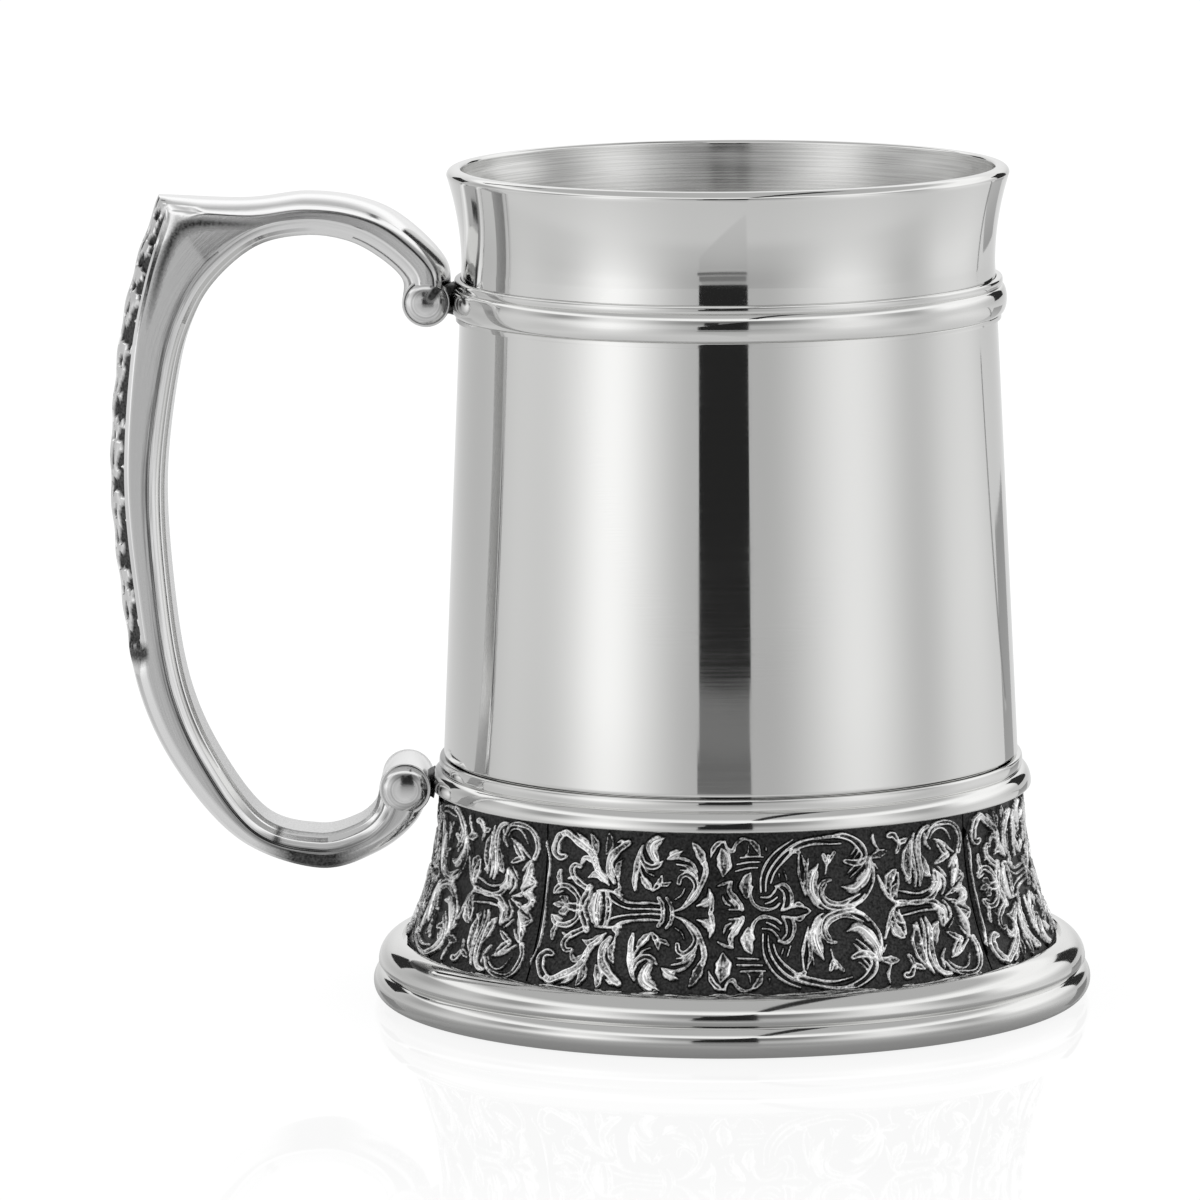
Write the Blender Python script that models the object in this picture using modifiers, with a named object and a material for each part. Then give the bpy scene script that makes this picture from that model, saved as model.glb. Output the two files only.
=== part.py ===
"""One-pint pewter tankard with a flared mouth, a relief frieze round the base and a cast scroll handle.

Units are metres and +Z is up. The origin is on the axis of the drum, on the table, and the handle
points along -X. Soldered pieces stand one solder gap apart.
"""
import math

import bmesh
import bpy
from mathutils import Matrix, Vector

# Fit between soldered pieces
SOLDER_GAP = 0.0003

# Foot ring
FOOT_HEIGHT = 0.0092
FOOT_BORE_WALL = 0.0020
UPPER_ROLL_WIDTH = 0.0036
UPPER_ROLL_HEIGHT = 0.0037
LOWER_ROLL_PROJECTION = 0.0008
LOWER_ROLL_HEIGHT = 0.0050
LOWER_ROLL_TURN = 65
FOOT_EDGE_ROUND = 0.0014
FRIEZE_SEAT_DEPTH = 0.0008

# Closing plate under the foot, and the floor of the drum
BASE_THICKNESS = 0.0012
BASE_LEDGE = 0.0015
FLOOR_THICKNESS = 0.0016

# Frieze of four quarter panels
PANEL_COUNT = 4
FRIEZE_HEIGHT = 0.0231
FRIEZE_FLARE = 0.0055
FRIEZE_CURVE = 2.15
PANEL_THICKNESS = 0.0016
PANEL_SEAM_TURN = math.radians(-128.2)

# Collar ring above the frieze
COLLAR_HEIGHT = 0.0047
COLLAR_FILLET_HEIGHT = 0.0018
COLLAR_FILLET_PROJECTION = 0.0007
COLLAR_WAIST_PROJECTION = 0.0005
COLLAR_BEAD_PROJECTION = 0.0020
COLLAR_BEAD_TURN = 78
COLLAR_EDGE_RADIUS = 0.0004

# Drum
TANKARD_HEIGHT = 0.1259
SHOULDER_RADIUS = 0.0434
SHOULDER_LEDGE = 0.0011
SPIGOT_WALL = 0.0013
SPIGOT_END = 0.0120
INSIDE_TAPER_HEIGHT = 0.0040
NECK_RADIUS = 0.04005
MOUTH_RADIUS = 0.0400
MOUTH_HEIGHT = 0.0135
MOUTH_CURVE = 2.0
LIP_WALL = 0.0022
DRUM_WALL = 0.0015

# Bead ring under the mouth
BEAD_DROP = 0.0167
BEAD_RING_HEIGHT = 0.0062
BEAD_PROJECTION = 0.00152
BEAD_TURN = 75
BEAD_FILLET_PROJECTION = 0.00105
BEAD_NOTCH_PROJECTION = 0.0008
BEAD_LOW_FILLET_PROJECTION = 0.0006
BEAD_TOP_FILLET_HEIGHT = 0.0012
BEAD_LOW_FILLET_HEIGHT = 0.0008

# Handle
FINGER_ROOM = 0.0382
HANDLE_WIDTH = 0.0148
GRIP_THICKNESS = 0.0084
CROWN_HEIGHT = 0.0022
CROWN_TURN = 72
INNER_BEVEL_DEPTH = 0.0022
INNER_BEVEL_WIDTH = 0.0024
UPPER_SCROLL_RADIUS = 0.0036
LOWER_SCROLL_RADIUS = 0.0039
SCROLL_WIDTH = 0.0140
SCROLL_BUTTON_RISE = 0.0009
SCROLL_RIM = 0.0005
SADDLE_DEPTH = 0.0005
LUG_WIDTH = 0.0080
LUG_ROOT = 0.0020
UPPER_LUG_HEIGHT = 0.0054
LOWER_LUG_HEIGHT = 0.0040

# Smoothness of the round forms
TURN_STEPS = 48
SCROLL_STEPS = 24
SPAN_STEPS = 4
FILLET_STEPS = 4
ROLL_STEPS = 8
BEAD_STEPS = 6
FLARE_STEPS = 6
DOME_STEPS = 5
CROWN_STEPS = 4
SHARP_ANGLE = math.radians(40)

# Side view of the handle, from the upper scroll over the thumb rest and down to the lower scroll. Each
# row is a place on the finger side (share of the finger room, share of the rise between the scrolls),
# the thickness there as a share of the grip's, and the way to the outside in degrees from +X.
HANDLE_STATIONS = (
    (0.095, 1.048, 0.82, 20),
    (0.196, 1.096, 0.79, 51),
    (0.318, 1.127, 0.76, 68),
    (0.475, 1.137, 0.74, 88),
    (0.658, 1.117, 0.84, 107),
    (0.815, 1.053, 1.79, 127),
    (0.912, 0.974, 1.36, 142),
    (0.970, 0.858, 1.14, 161),
    (1.002, 0.638, 1.00, 177),
    (0.961, 0.414, 0.93, 184),
    (0.884, 0.216, 0.90, 195),
    (0.753, 0.068, 0.81, 210),
    (0.562, -0.062, 0.66, 228),
    (0.351, -0.094, 0.71, 270),
    (0.207, -0.078, 0.69, 303),
    (0.128, -0.046, 0.80, 338),
)
THUMB_STATION = 6

# Levels, from the table up
frieze_seat_z = FOOT_HEIGHT - FRIEZE_SEAT_DEPTH
panel_bottom_z = frieze_seat_z + SOLDER_GAP
panel_top_z = panel_bottom_z + FRIEZE_HEIGHT
collar_bottom_z = panel_top_z + SOLDER_GAP
collar_top_z = collar_bottom_z + COLLAR_HEIGHT
collar_notch_z = collar_top_z - COLLAR_FILLET_HEIGHT
collar_crest_z = collar_bottom_z + COLLAR_EDGE_RADIUS
shoulder_z = collar_top_z + SOLDER_GAP
lip_z = TANKARD_HEIGHT - LIP_WALL / 2
neck_z = lip_z - MOUTH_HEIGHT
bead_top_z = TANKARD_HEIGHT - BEAD_DROP
bead_bottom_z = bead_top_z - BEAD_RING_HEIGHT
bead_notch_z = bead_top_z - BEAD_TOP_FILLET_HEIGHT
bead_heel_z = bead_bottom_z + BEAD_LOW_FILLET_HEIGHT
bead_mid_z = (bead_notch_z + bead_heel_z) / 2

# Radii, from the drum's shoulder outwards
spigot_radius = SHOULDER_RADIUS - SHOULDER_LEDGE
sleeve_radius = spigot_radius + SOLDER_GAP
frieze_top_radius = sleeve_radius + PANEL_THICKNESS
frieze_foot_radius = frieze_top_radius + FRIEZE_FLARE
seat_radius = frieze_foot_radius + SOLDER_GAP
upper_roll_radius = seat_radius + UPPER_ROLL_WIDTH
lower_roll_radius = upper_roll_radius + LOWER_ROLL_PROJECTION
foot_bore_radius = frieze_foot_radius - PANEL_THICKNESS - FOOT_BORE_WALL
base_rebate_radius = foot_bore_radius + BASE_LEDGE
collar_fillet_radius = SHOULDER_RADIUS + COLLAR_FILLET_PROJECTION
collar_waist_radius = SHOULDER_RADIUS + COLLAR_WAIST_PROJECTION
collar_radius = SHOULDER_RADIUS + COLLAR_BEAD_PROJECTION
lip_radius = MOUTH_RADIUS + LIP_WALL


def arc(centre, radii, start, end, steps):
    """Points of an elliptical arc in a turned profile; angles in degrees, 0 pointing away from the axis."""
    points = []
    for i in range(steps + 1):
        turn = math.radians(start + (end - start) * i / steps)
        points.append((centre[0] + radii[0] * math.cos(turn), centre[1] + radii[1] * math.sin(turn)))
    return points


def drum_radius(z):
    """Outside of the drum: a straight taper, flaring to the lip above the neck."""
    if z > neck_z:
        return NECK_RADIUS + (lip_radius - NECK_RADIUS) * ((z - neck_z) / MOUTH_HEIGHT) ** MOUTH_CURVE
    share = (z - shoulder_z) / (neck_z - shoulder_z)
    return SHOULDER_RADIUS + (NECK_RADIUS - SHOULDER_RADIUS) * share


def mouth_radius(z):
    """Inside of the flared mouth."""
    throat = NECK_RADIUS - DRUM_WALL
    return throat + (MOUTH_RADIUS - throat) * ((z - neck_z) / MOUTH_HEIGHT) ** MOUTH_CURVE


def frieze_radius(z):
    """Outside of the frieze, a hollow flare that opens downwards."""
    return frieze_top_radius + FRIEZE_FLARE * ((panel_top_z - z) / FRIEZE_HEIGHT) ** FRIEZE_CURVE


def levels(top, bottom, steps):
    """Evenly spaced heights from top to bottom."""
    return [top + (bottom - top) * i / steps for i in range(steps + 1)]


def drum_profile():
    """Lip, flared mouth, taper, shoulder and spigot, then back up the inside."""
    flare = levels(lip_z, neck_z, FLARE_STEPS)
    lip = (LIP_WALL / 2, LIP_WALL / 2)
    outside = arc((MOUTH_RADIUS + LIP_WALL / 2, lip_z), lip, 180, 0, BEAD_STEPS)
    outside += [(drum_radius(z), z) for z in flare[1:]]
    outside += [(SHOULDER_RADIUS, shoulder_z), (spigot_radius, shoulder_z), (spigot_radius, SPIGOT_END)]
    bore = spigot_radius - SPIGOT_WALL
    taper_z = shoulder_z + INSIDE_TAPER_HEIGHT
    inside = [(bore, SPIGOT_END), (bore, shoulder_z), (drum_radius(taper_z) - DRUM_WALL, taper_z)]
    inside += [(mouth_radius(z), z) for z in reversed(flare[1:])]
    return outside + inside


def bead_outline(clearance=0.0):
    """Outer side of the bead ring: top fillet, half-round bead, thin lower fillet."""
    fillet_top = drum_radius(bead_top_z) + BEAD_FILLET_PROJECTION + clearance
    notch = drum_radius(bead_notch_z) + BEAD_NOTCH_PROJECTION + clearance
    heel = drum_radius(bead_heel_z) + BEAD_LOW_FILLET_PROJECTION + clearance
    crest = drum_radius(bead_mid_z) + BEAD_PROJECTION + clearance
    half_height = (bead_notch_z - bead_heel_z) / 2
    fillet_z = bead_top_z - BEAD_TOP_FILLET_HEIGHT / 2
    half_fillet = BEAD_TOP_FILLET_HEIGHT / 2
    points = arc((notch, fillet_z), (fillet_top - notch, half_fillet), 90, -90, FILLET_STEPS)
    points += arc((notch, bead_mid_z), (crest - notch, half_height), BEAD_TURN, -BEAD_TURN, BEAD_STEPS)
    return points + [(heel, bead_heel_z), (heel, bead_bottom_z)]


def bead_profile():
    """Bead ring, lying against the drum's taper."""
    bore = [(drum_radius(z) + SOLDER_GAP, z) for z in (bead_bottom_z, bead_top_z)]
    return bead_outline() + bore


def collar_outline(clearance=0.0):
    """Outer side of the collar ring: a small fillet over a quarter-round that ends in a soft lower edge."""
    waist = collar_waist_radius + clearance
    fillet = collar_fillet_radius + clearance
    crest = collar_radius + clearance
    fillet_z = (collar_top_z + collar_notch_z) / 2
    half_fillet = COLLAR_FILLET_HEIGHT / 2
    points = arc((waist, fillet_z), (fillet - waist, half_fillet), 90, -90, FILLET_STEPS)
    quarter = (crest - waist, collar_notch_z - collar_crest_z)
    points += arc((waist, collar_crest_z), quarter, COLLAR_BEAD_TURN, 0, BEAD_STEPS)
    edge = (crest - COLLAR_EDGE_RADIUS, collar_crest_z)
    return points + arc(edge, (COLLAR_EDGE_RADIUS, COLLAR_EDGE_RADIUS), 0, -90, FILLET_STEPS)[1:]


def collar_profile():
    """Collar ring, threaded on the drum's spigot under its shoulder."""
    return collar_outline() + [(sleeve_radius, collar_bottom_z), (sleeve_radius, collar_top_z)]


def foot_profile():
    """Foot ring: rebate for the frieze, two rolls outside, rebate for the closing plate below."""
    roll_base_z = FOOT_HEIGHT - UPPER_ROLL_HEIGHT
    half_roll = LOWER_ROLL_HEIGHT / 2
    core = upper_roll_radius - FOOT_EDGE_ROUND
    points = [(foot_bore_radius, frieze_seat_z), (seat_radius, frieze_seat_z)]
    points += arc((seat_radius, roll_base_z), (UPPER_ROLL_WIDTH, UPPER_ROLL_HEIGHT), 90, 0, BEAD_STEPS)
    lower_roll = (lower_roll_radius - core, half_roll)
    points += arc((core, half_roll), lower_roll, LOWER_ROLL_TURN, -90, ROLL_STEPS)
    ledge_z = BASE_THICKNESS + SOLDER_GAP
    points += [(base_rebate_radius, 0.0), (base_rebate_radius, ledge_z), (foot_bore_radius, ledge_z)]
    return points


def panel_section():
    """Cross-section of a frieze panel, hollow outside and of even thickness."""
    heights = levels(panel_top_z, panel_bottom_z, ROLL_STEPS)
    outside = [(frieze_radius(z), z) for z in heights]
    inside = [(frieze_radius(z) - PANEL_THICKNESS, z) for z in reversed(heights)]
    return outside + inside


def pewter(name, grey, roughness):
    """Bare or darkened pewter."""
    material = bpy.data.materials.new(name)
    material.use_nodes = True
    shader = material.node_tree.nodes["Principled BSDF"]
    shader.inputs["Base Color"].default_value = (grey, grey, grey * 0.98, 1.0)
    shader.inputs["Metallic"].default_value = 1.0
    shader.inputs["Roughness"].default_value = roughness
    return material


def add_object(name, mesh, collection, material=None):
    """Puts a mesh in the scene as a named object."""
    piece = bpy.data.objects.new(name, mesh)
    collection.objects.link(piece)
    if material:
        mesh.materials.append(material)
    return piece


def make_guide(piece):
    """Shows a tool shape as wire only."""
    piece.hide_render = True
    piece.display_type = "WIRE"
    return piece


def shade_round(mesh):
    """Smooth shading that keeps the crisp turned edges."""
    mesh.shade_smooth()
    mesh.set_sharp_from_angle(angle=SHARP_ANGLE)


def turned(name, profile, collection, material=None, closed=True, steps=TURN_STEPS):
    """A lathe form: profile points (radius, height) at +X, turned round Z by a Screw modifier."""
    form = bmesh.new()
    points = [form.verts.new((r, 0.0, z)) for r, z in profile]
    for first, second in zip(points, points[1:]):
        form.edges.new((first, second))
    if closed:
        form.edges.new((points[-1], points[0]))
    mesh = bpy.data.meshes.new(name)
    form.to_mesh(mesh)
    form.free()
    piece = add_object(name, mesh, collection, material)
    screw = piece.modifiers.new("Turn", "SCREW")
    screw.steps = steps
    screw.render_steps = steps
    screw.use_merge_vertices = True
    screw.merge_threshold = 0.00001
    screw.use_smooth_shade = True
    return piece


def disc(name, radius, bottom, top, collection, material):
    """A flat round plate."""
    form = bmesh.new()
    middle = Matrix.Translation((0.0, 0.0, (bottom + top) / 2))
    bmesh.ops.create_cone(form, cap_ends=True, segments=TURN_STEPS, radius1=radius, radius2=radius,
                          depth=top - bottom, matrix=middle)
    mesh = bpy.data.meshes.new(name)
    form.to_mesh(mesh)
    form.free()
    shade_round(mesh)
    return add_object(name, mesh, collection, material)


def frieze_panel(index, collection, material):
    """One quarter of the frieze, swept round the axis between two solder seams."""
    pitch = math.tau / PANEL_COUNT
    seam = SOLDER_GAP / frieze_top_radius
    form = bmesh.new()
    section = form.faces.new([form.verts.new((r, 0.0, z)) for r, z in panel_section()])
    start = Matrix.Rotation(PANEL_SEAM_TURN + index * pitch + seam / 2, 3, "Z")
    bmesh.ops.rotate(form, verts=form.verts, cent=(0.0, 0.0, 0.0), matrix=start)
    bmesh.ops.spin(form, geom=[section], axis=(0.0, 0.0, 1.0), cent=(0.0, 0.0, 0.0),
                   angle=pitch - seam, steps=TURN_STEPS // PANEL_COUNT)
    bmesh.ops.recalc_face_normals(form, faces=form.faces)
    name = f"frieze_panel_{index + 1}"
    mesh = bpy.data.meshes.new(name)
    form.to_mesh(mesh)
    form.free()
    shade_round(mesh)
    return add_object(name, mesh, collection, material)


def scroll_profile(radius):
    """Scroll end of the handle: a short roll with a thin rim and a domed button on each side."""
    half = SCROLL_WIDTH / 2
    button = radius - SCROLL_RIM
    dome = arc((0.0, half), (button, SCROLL_BUTTON_RISE), 90, 0, DOME_STEPS)
    side = dome + [(radius, half - SCROLL_RIM)]
    return side + [(r, -z) for r, z in reversed(side)]


def smooth_run(points, steps):
    """A smooth curve through the points, evenly stepped between neighbours."""
    ends = [points[0] * 2 - points[1]] + points + [points[-1] * 2 - points[-2]]
    run = []
    for before, here, there, after in zip(ends, ends[1:], ends[2:], ends[3:]):
        for i in range(steps):
            t = i / steps
            bend = (before * 2 - here * 5 + there * 4 - after) * t * t
            sway = (here * 3 - before - there * 3 + after) * t ** 3
            run.append((here * 2 + (there - before) * t + bend + sway) / 2)
    return run + [points[-1]]


def handle_sides(upper, lower):
    """Finger side and outside of the handle in side view, as matching lists of points (x, z)."""
    finger = [upper - Vector((UPPER_SCROLL_RADIUS, 0.0))]
    outside = [upper + Vector((UPPER_SCROLL_RADIUS, 0.0))]
    for room, rise, thickness, turn in HANDLE_STATIONS:
        seat_x = lower.x + (upper.x - lower.x) * min(max(rise, 0.0), 1.0)
        point = Vector((seat_x - room * FINGER_ROOM, lower.y + rise * (upper.y - lower.y)))
        way = Vector((math.cos(math.radians(turn)), math.sin(math.radians(turn))))
        finger.append(point)
        outside.append(point + way * thickness * GRIP_THICKNESS)
    finger.append(lower - Vector((LOWER_SCROLL_RADIUS, 0.0)))
    outside.append(lower + Vector((LOWER_SCROLL_RADIUS, 0.0)))
    over = smooth_run(outside[:THUMB_STATION + 1], SPAN_STEPS)
    down = smooth_run(outside[THUMB_STATION:], SPAN_STEPS)
    return smooth_run(finger, SPAN_STEPS), over[:-1] + down


def handle_section(finger, outside):
    """Loop of points across the handle: flat finger side, bevels, flat cheeks and a crowned back."""
    depth = (outside - finger).length
    way = (outside - finger) / depth
    half = HANDLE_WIDTH / 2
    cheek = depth - CROWN_HEIGHT
    right = [(half - INNER_BEVEL_WIDTH, 0.0), (half, INNER_BEVEL_DEPTH)]
    crown = arc((0.0, 0.0), (half, CROWN_HEIGHT), 0, CROWN_TURN, CROWN_STEPS)
    right += [(w, cheek + h) for w, h in crown]
    loop = right + [(0.0, depth)] + [(-w, h) for w, h in reversed(right)]
    return [(finger.x + way.x * h, w, finger.y + way.y * h) for w, h in loop]


def handle_arm(upper, lower, collection, material):
    """The bent arm of the handle, lofted section by section from the upper scroll to the lower."""
    sections = [handle_section(*pair) for pair in zip(*handle_sides(upper, lower))]
    form = bmesh.new()
    loops = []
    for section in sections:
        points = [form.verts.new(point) for point in section]
        loops.append([form.edges.new(pair) for pair in zip(points, points[1:] + points[:1])])
    for first, second in zip(loops, loops[1:]):
        bmesh.ops.bridge_loops(form, edges=first + second)
    bmesh.ops.holes_fill(form, edges=loops[0] + loops[-1])
    bmesh.ops.recalc_face_normals(form, faces=form.faces)
    mesh = bpy.data.meshes.new("handle")
    form.to_mesh(mesh)
    form.free()
    shade_round(mesh)
    return add_object("handle", mesh, collection, material)


def scroll(name, radius, place, collection):
    """A scroll end, lying across the handle."""
    piece = turned(name, scroll_profile(radius), collection, closed=False, steps=SCROLL_STEPS)
    piece.location = (place.x, 0.0, place.y)
    piece.rotation_euler = (math.radians(90), 0.0, 0.0)
    return make_guide(piece)


def lug(name, place, height, ring_radius, collection):
    """A short block from a scroll to the ring it is soldered to."""
    inner = LUG_ROOT - ring_radius
    form = bmesh.new()
    bmesh.ops.create_cube(form, size=1.0)
    bmesh.ops.scale(form, verts=form.verts, vec=(inner - place.x, LUG_WIDTH, height))
    bmesh.ops.translate(form, verts=form.verts, vec=((inner + place.x) / 2, 0.0, place.y))
    mesh = bpy.data.meshes.new(name)
    form.to_mesh(mesh)
    form.free()
    return make_guide(add_object(name, mesh, collection))


def ring_cutter(name, outline, bore, collection):
    """Room that a ring takes out of the handle, one solder gap larger than the ring."""
    top = outline[0][1] + SOLDER_GAP
    bottom = outline[-1][1] - SOLDER_GAP
    profile = [(outline[0][0], top)] + outline + [(outline[-1][0], bottom)]
    return make_guide(turned(name, profile + [(bore, bottom), (bore, top)], collection))


def handle(pieces, tools, material):
    """Cast handle: arm, two scroll ends and two lugs in one piece, fitted to the rings it is soldered to."""
    bead_radius = drum_radius(bead_mid_z) + BEAD_PROJECTION
    reach = SOLDER_GAP - SADDLE_DEPTH
    upper = Vector((-(bead_radius + reach + UPPER_SCROLL_RADIUS), (bead_top_z + bead_bottom_z) / 2))
    lower = Vector((-(collar_radius + reach + LOWER_SCROLL_RADIUS), collar_crest_z))
    piece = handle_arm(upper, lower, pieces, material)
    joined = (
        scroll("upper_scroll", UPPER_SCROLL_RADIUS, upper, tools),
        scroll("lower_scroll", LOWER_SCROLL_RADIUS, lower, tools),
        lug("upper_lug", upper, UPPER_LUG_HEIGHT, bead_radius, tools),
        lug("lower_lug", lower, LOWER_LUG_HEIGHT, collar_radius, tools),
    )
    bead_bore = drum_radius(bead_top_z) - DRUM_WALL
    collar_bore = spigot_radius - SPIGOT_WALL
    under_collar = levels(panel_top_z, panel_top_z - LOWER_SCROLL_RADIUS, FILLET_STEPS)
    frieze_wall = [(frieze_radius(z) + SOLDER_GAP, z) for z in under_collar]
    cut = (
        ring_cutter("bead_room", bead_outline(SOLDER_GAP), bead_bore, tools),
        ring_cutter("collar_room", collar_outline(SOLDER_GAP) + frieze_wall, collar_bore, tools),
    )
    for operation, shapes in (("UNION", joined), ("DIFFERENCE", cut)):
        for shape in shapes:
            step = piece.modifiers.new(shape.name, "BOOLEAN")
            step.operation = operation
            step.object = shape
    return piece


def clear_scene():
    """Removes whatever the open file holds."""
    for item in list(bpy.data.objects):
        bpy.data.objects.remove(item, do_unlink=True)


def main():
    clear_scene()
    pieces = bpy.data.collections.new("tankard")
    tools = bpy.data.collections.new("handle_tools")
    for collection in (pieces, tools):
        bpy.context.scene.collection.children.link(collection)

    turned("drum", drum_profile(), pieces, pewter("drum_pewter", 0.74, 0.10))
    turned("bead_ring", bead_profile(), pieces, pewter("bead_pewter", 0.74, 0.10))
    turned("collar_ring", collar_profile(), pieces, pewter("collar_pewter", 0.74, 0.10))
    darkened = pewter("darkened_relief", 0.28, 0.35)
    for index in range(PANEL_COUNT):
        frieze_panel(index, pieces, darkened)
    turned("foot_ring", foot_profile(), pieces, pewter("foot_pewter", 0.72, 0.12))
    floor_radius = spigot_radius - SPIGOT_WALL - SOLDER_GAP
    disc("vessel_floor", floor_radius, SPIGOT_END, SPIGOT_END + FLOOR_THICKNESS, pieces,
         pewter("floor_satin", 0.68, 0.35))
    disc("base_plate", base_rebate_radius - SOLDER_GAP, 0.0, BASE_THICKNESS, pieces,
         pewter("base_satin", 0.66, 0.30))
    handle(pieces, tools, pewter("handle_pewter", 0.70, 0.18))


main()
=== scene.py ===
"""Looks of a pewter pint tankard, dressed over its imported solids: a polished drum between turned rings,
a blackened relief frieze, a rolled foot and a cast scroll handle. Metres, +Z up, handle towards -X."""
import math

import bmesh
import bpy
import numpy as np
from mathutils import Matrix, Vector


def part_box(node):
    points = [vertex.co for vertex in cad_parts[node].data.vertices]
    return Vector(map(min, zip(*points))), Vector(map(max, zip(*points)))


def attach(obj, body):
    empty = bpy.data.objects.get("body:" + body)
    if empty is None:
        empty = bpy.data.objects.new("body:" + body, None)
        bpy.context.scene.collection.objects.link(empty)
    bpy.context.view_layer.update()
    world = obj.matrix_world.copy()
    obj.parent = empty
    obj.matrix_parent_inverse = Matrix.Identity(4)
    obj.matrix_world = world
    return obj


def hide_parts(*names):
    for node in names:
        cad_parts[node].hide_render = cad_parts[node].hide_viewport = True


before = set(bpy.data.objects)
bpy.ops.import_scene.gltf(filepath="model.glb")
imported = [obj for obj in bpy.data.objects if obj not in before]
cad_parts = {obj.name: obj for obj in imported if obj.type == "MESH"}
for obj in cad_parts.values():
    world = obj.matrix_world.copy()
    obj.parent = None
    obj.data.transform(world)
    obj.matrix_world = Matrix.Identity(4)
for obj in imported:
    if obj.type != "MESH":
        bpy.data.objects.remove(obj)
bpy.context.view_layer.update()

# Drum: the drinking vessel, cast in pewter and turned on the lathe. It is mirror-polished outside and left
# satin inside, with fine turning lines round the bore. A spigot below its shoulder is hidden by the frieze.
solder_gap = 0.0003
rim_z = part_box("drum")[1].z
spigot_end_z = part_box("drum")[0].z
shoulder_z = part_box("collar_ring")[1].z + solder_gap
shoulder_radius = 0.0434
shoulder_ledge = 0.0011
shoulder_round = 0.0002
spigot_wall = 0.0013
neck_radius = 0.04005
mouth_radius = 0.0400
mouth_height = 0.0135
lip_wall = 0.0022
lip_inner_round = 0.0005
lip_outer_round = 0.0013
drum_wall = 0.0015
inside_taper = 0.0040
lip_z = rim_z - lip_wall / 2
neck_z = lip_z - mouth_height
lip_radius = mouth_radius + lip_wall
spigot_radius = shoulder_radius - shoulder_ledge
turn_steps = 288


def arc(centre, radii, start, end, steps):
    """Points of an elliptical arc in a turned profile; angles in degrees, 0 pointing away from the axis."""
    turns = np.radians(np.linspace(start, end, steps + 1))
    return [(centre[0] + radii[0] * math.cos(t), centre[1] + radii[1] * math.sin(t)) for t in turns]


def drum_radius(z):
    """Outside of the drum: a straight taper that flares to the lip above the neck."""
    if z > neck_z:
        return neck_radius + (lip_radius - neck_radius) * ((z - neck_z) / mouth_height) ** 2
    share = (z - shoulder_z) / (neck_z - shoulder_z)
    return shoulder_radius + (neck_radius - shoulder_radius) * share


def bore_radius(z):
    """Inside of the drum above the shoulder."""
    if z > neck_z:
        throat = neck_radius - drum_wall
        return throat + (mouth_radius - throat) * ((z - neck_z) / mouth_height) ** 2
    return drum_radius(z) - drum_wall


def finished(name, form, sharp=math.radians(35)):
    """Turns a bmesh into a smooth-shaded object with crisp edges."""
    mesh = bpy.data.meshes.new(name)
    form.to_mesh(mesh)
    form.free()
    mesh.shade_smooth()
    mesh.set_sharp_from_angle(angle=sharp)
    piece = bpy.data.objects.new(name, mesh)
    bpy.context.scene.collection.objects.link(piece)
    return piece


def spun(profile, steps, closed=True):
    """A profile of (radius, height), spun round the Z axis as a bmesh."""
    form = bmesh.new()
    points = [form.verts.new((r, 0.0, z)) for r, z in profile]
    chain = points + points[:1] if closed else points
    edges = [form.edges.new(pair) for pair in zip(chain, chain[1:])]
    bmesh.ops.spin(form, geom=points + edges, cent=(0.0, 0.0, 0.0), axis=(0.0, 0.0, 1.0),
                   angle=math.tau, steps=steps, use_merge=True)
    bmesh.ops.remove_doubles(form, verts=form.verts, dist=1e-6)
    return form


def turned(name, profile, steps=turn_steps):
    """A piece turned on the lathe, from its closed profile."""
    form = spun(profile, steps)
    bmesh.ops.recalc_face_normals(form, faces=form.faces)
    return finished(name, form)


def dress(piece, material, node):
    """Gives a piece its finish and its place on the object."""
    piece.data.materials.append(material)
    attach(piece, "root")
    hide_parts(node)


def node_group(name, inputs, outputs):
    """An empty shader group with float inputs {name: default} and named outputs."""
    group = bpy.data.node_groups.new(name, "ShaderNodeTree")
    for label, value in inputs.items():
        socket = group.interface.new_socket(label, in_out="INPUT", socket_type="NodeSocketFloat")
        socket.default_value = value
    for label in outputs:
        group.interface.new_socket(label, in_out="OUTPUT", socket_type="NodeSocketFloat")
    return group, group.nodes.new("NodeGroupInput"), group.nodes.new("NodeGroupOutput")


def wired(tree, kind, inputs=None, **settings):
    """Adds a shader node. An input takes a value, a socket, or a node whose first output in use is linked."""
    node = tree.nodes.new("ShaderNode" + kind)
    for setting, value in settings.items():
        setattr(node, setting, value)
    for label, value in (inputs or {}).items():
        if isinstance(value, bpy.types.Node):
            value = next(socket for socket in value.outputs if socket.enabled)
        if isinstance(value, bpy.types.NodeSocket):
            tree.links.new(value, node.inputs[label])
        else:
            node.inputs[label].default_value = value
    return node


def spread(tree, value, low, high, start=0.3, end=0.7, **settings):
    """Maps a value in the range start to end, which is a noise's usual one, to the range low to high."""
    limits = {"From Min": start, "From Max": end, "To Min": low, "To Max": high}
    return wired(tree, "MapRange", {"Value": value, **limits}, **settings).outputs["Result"]


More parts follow.
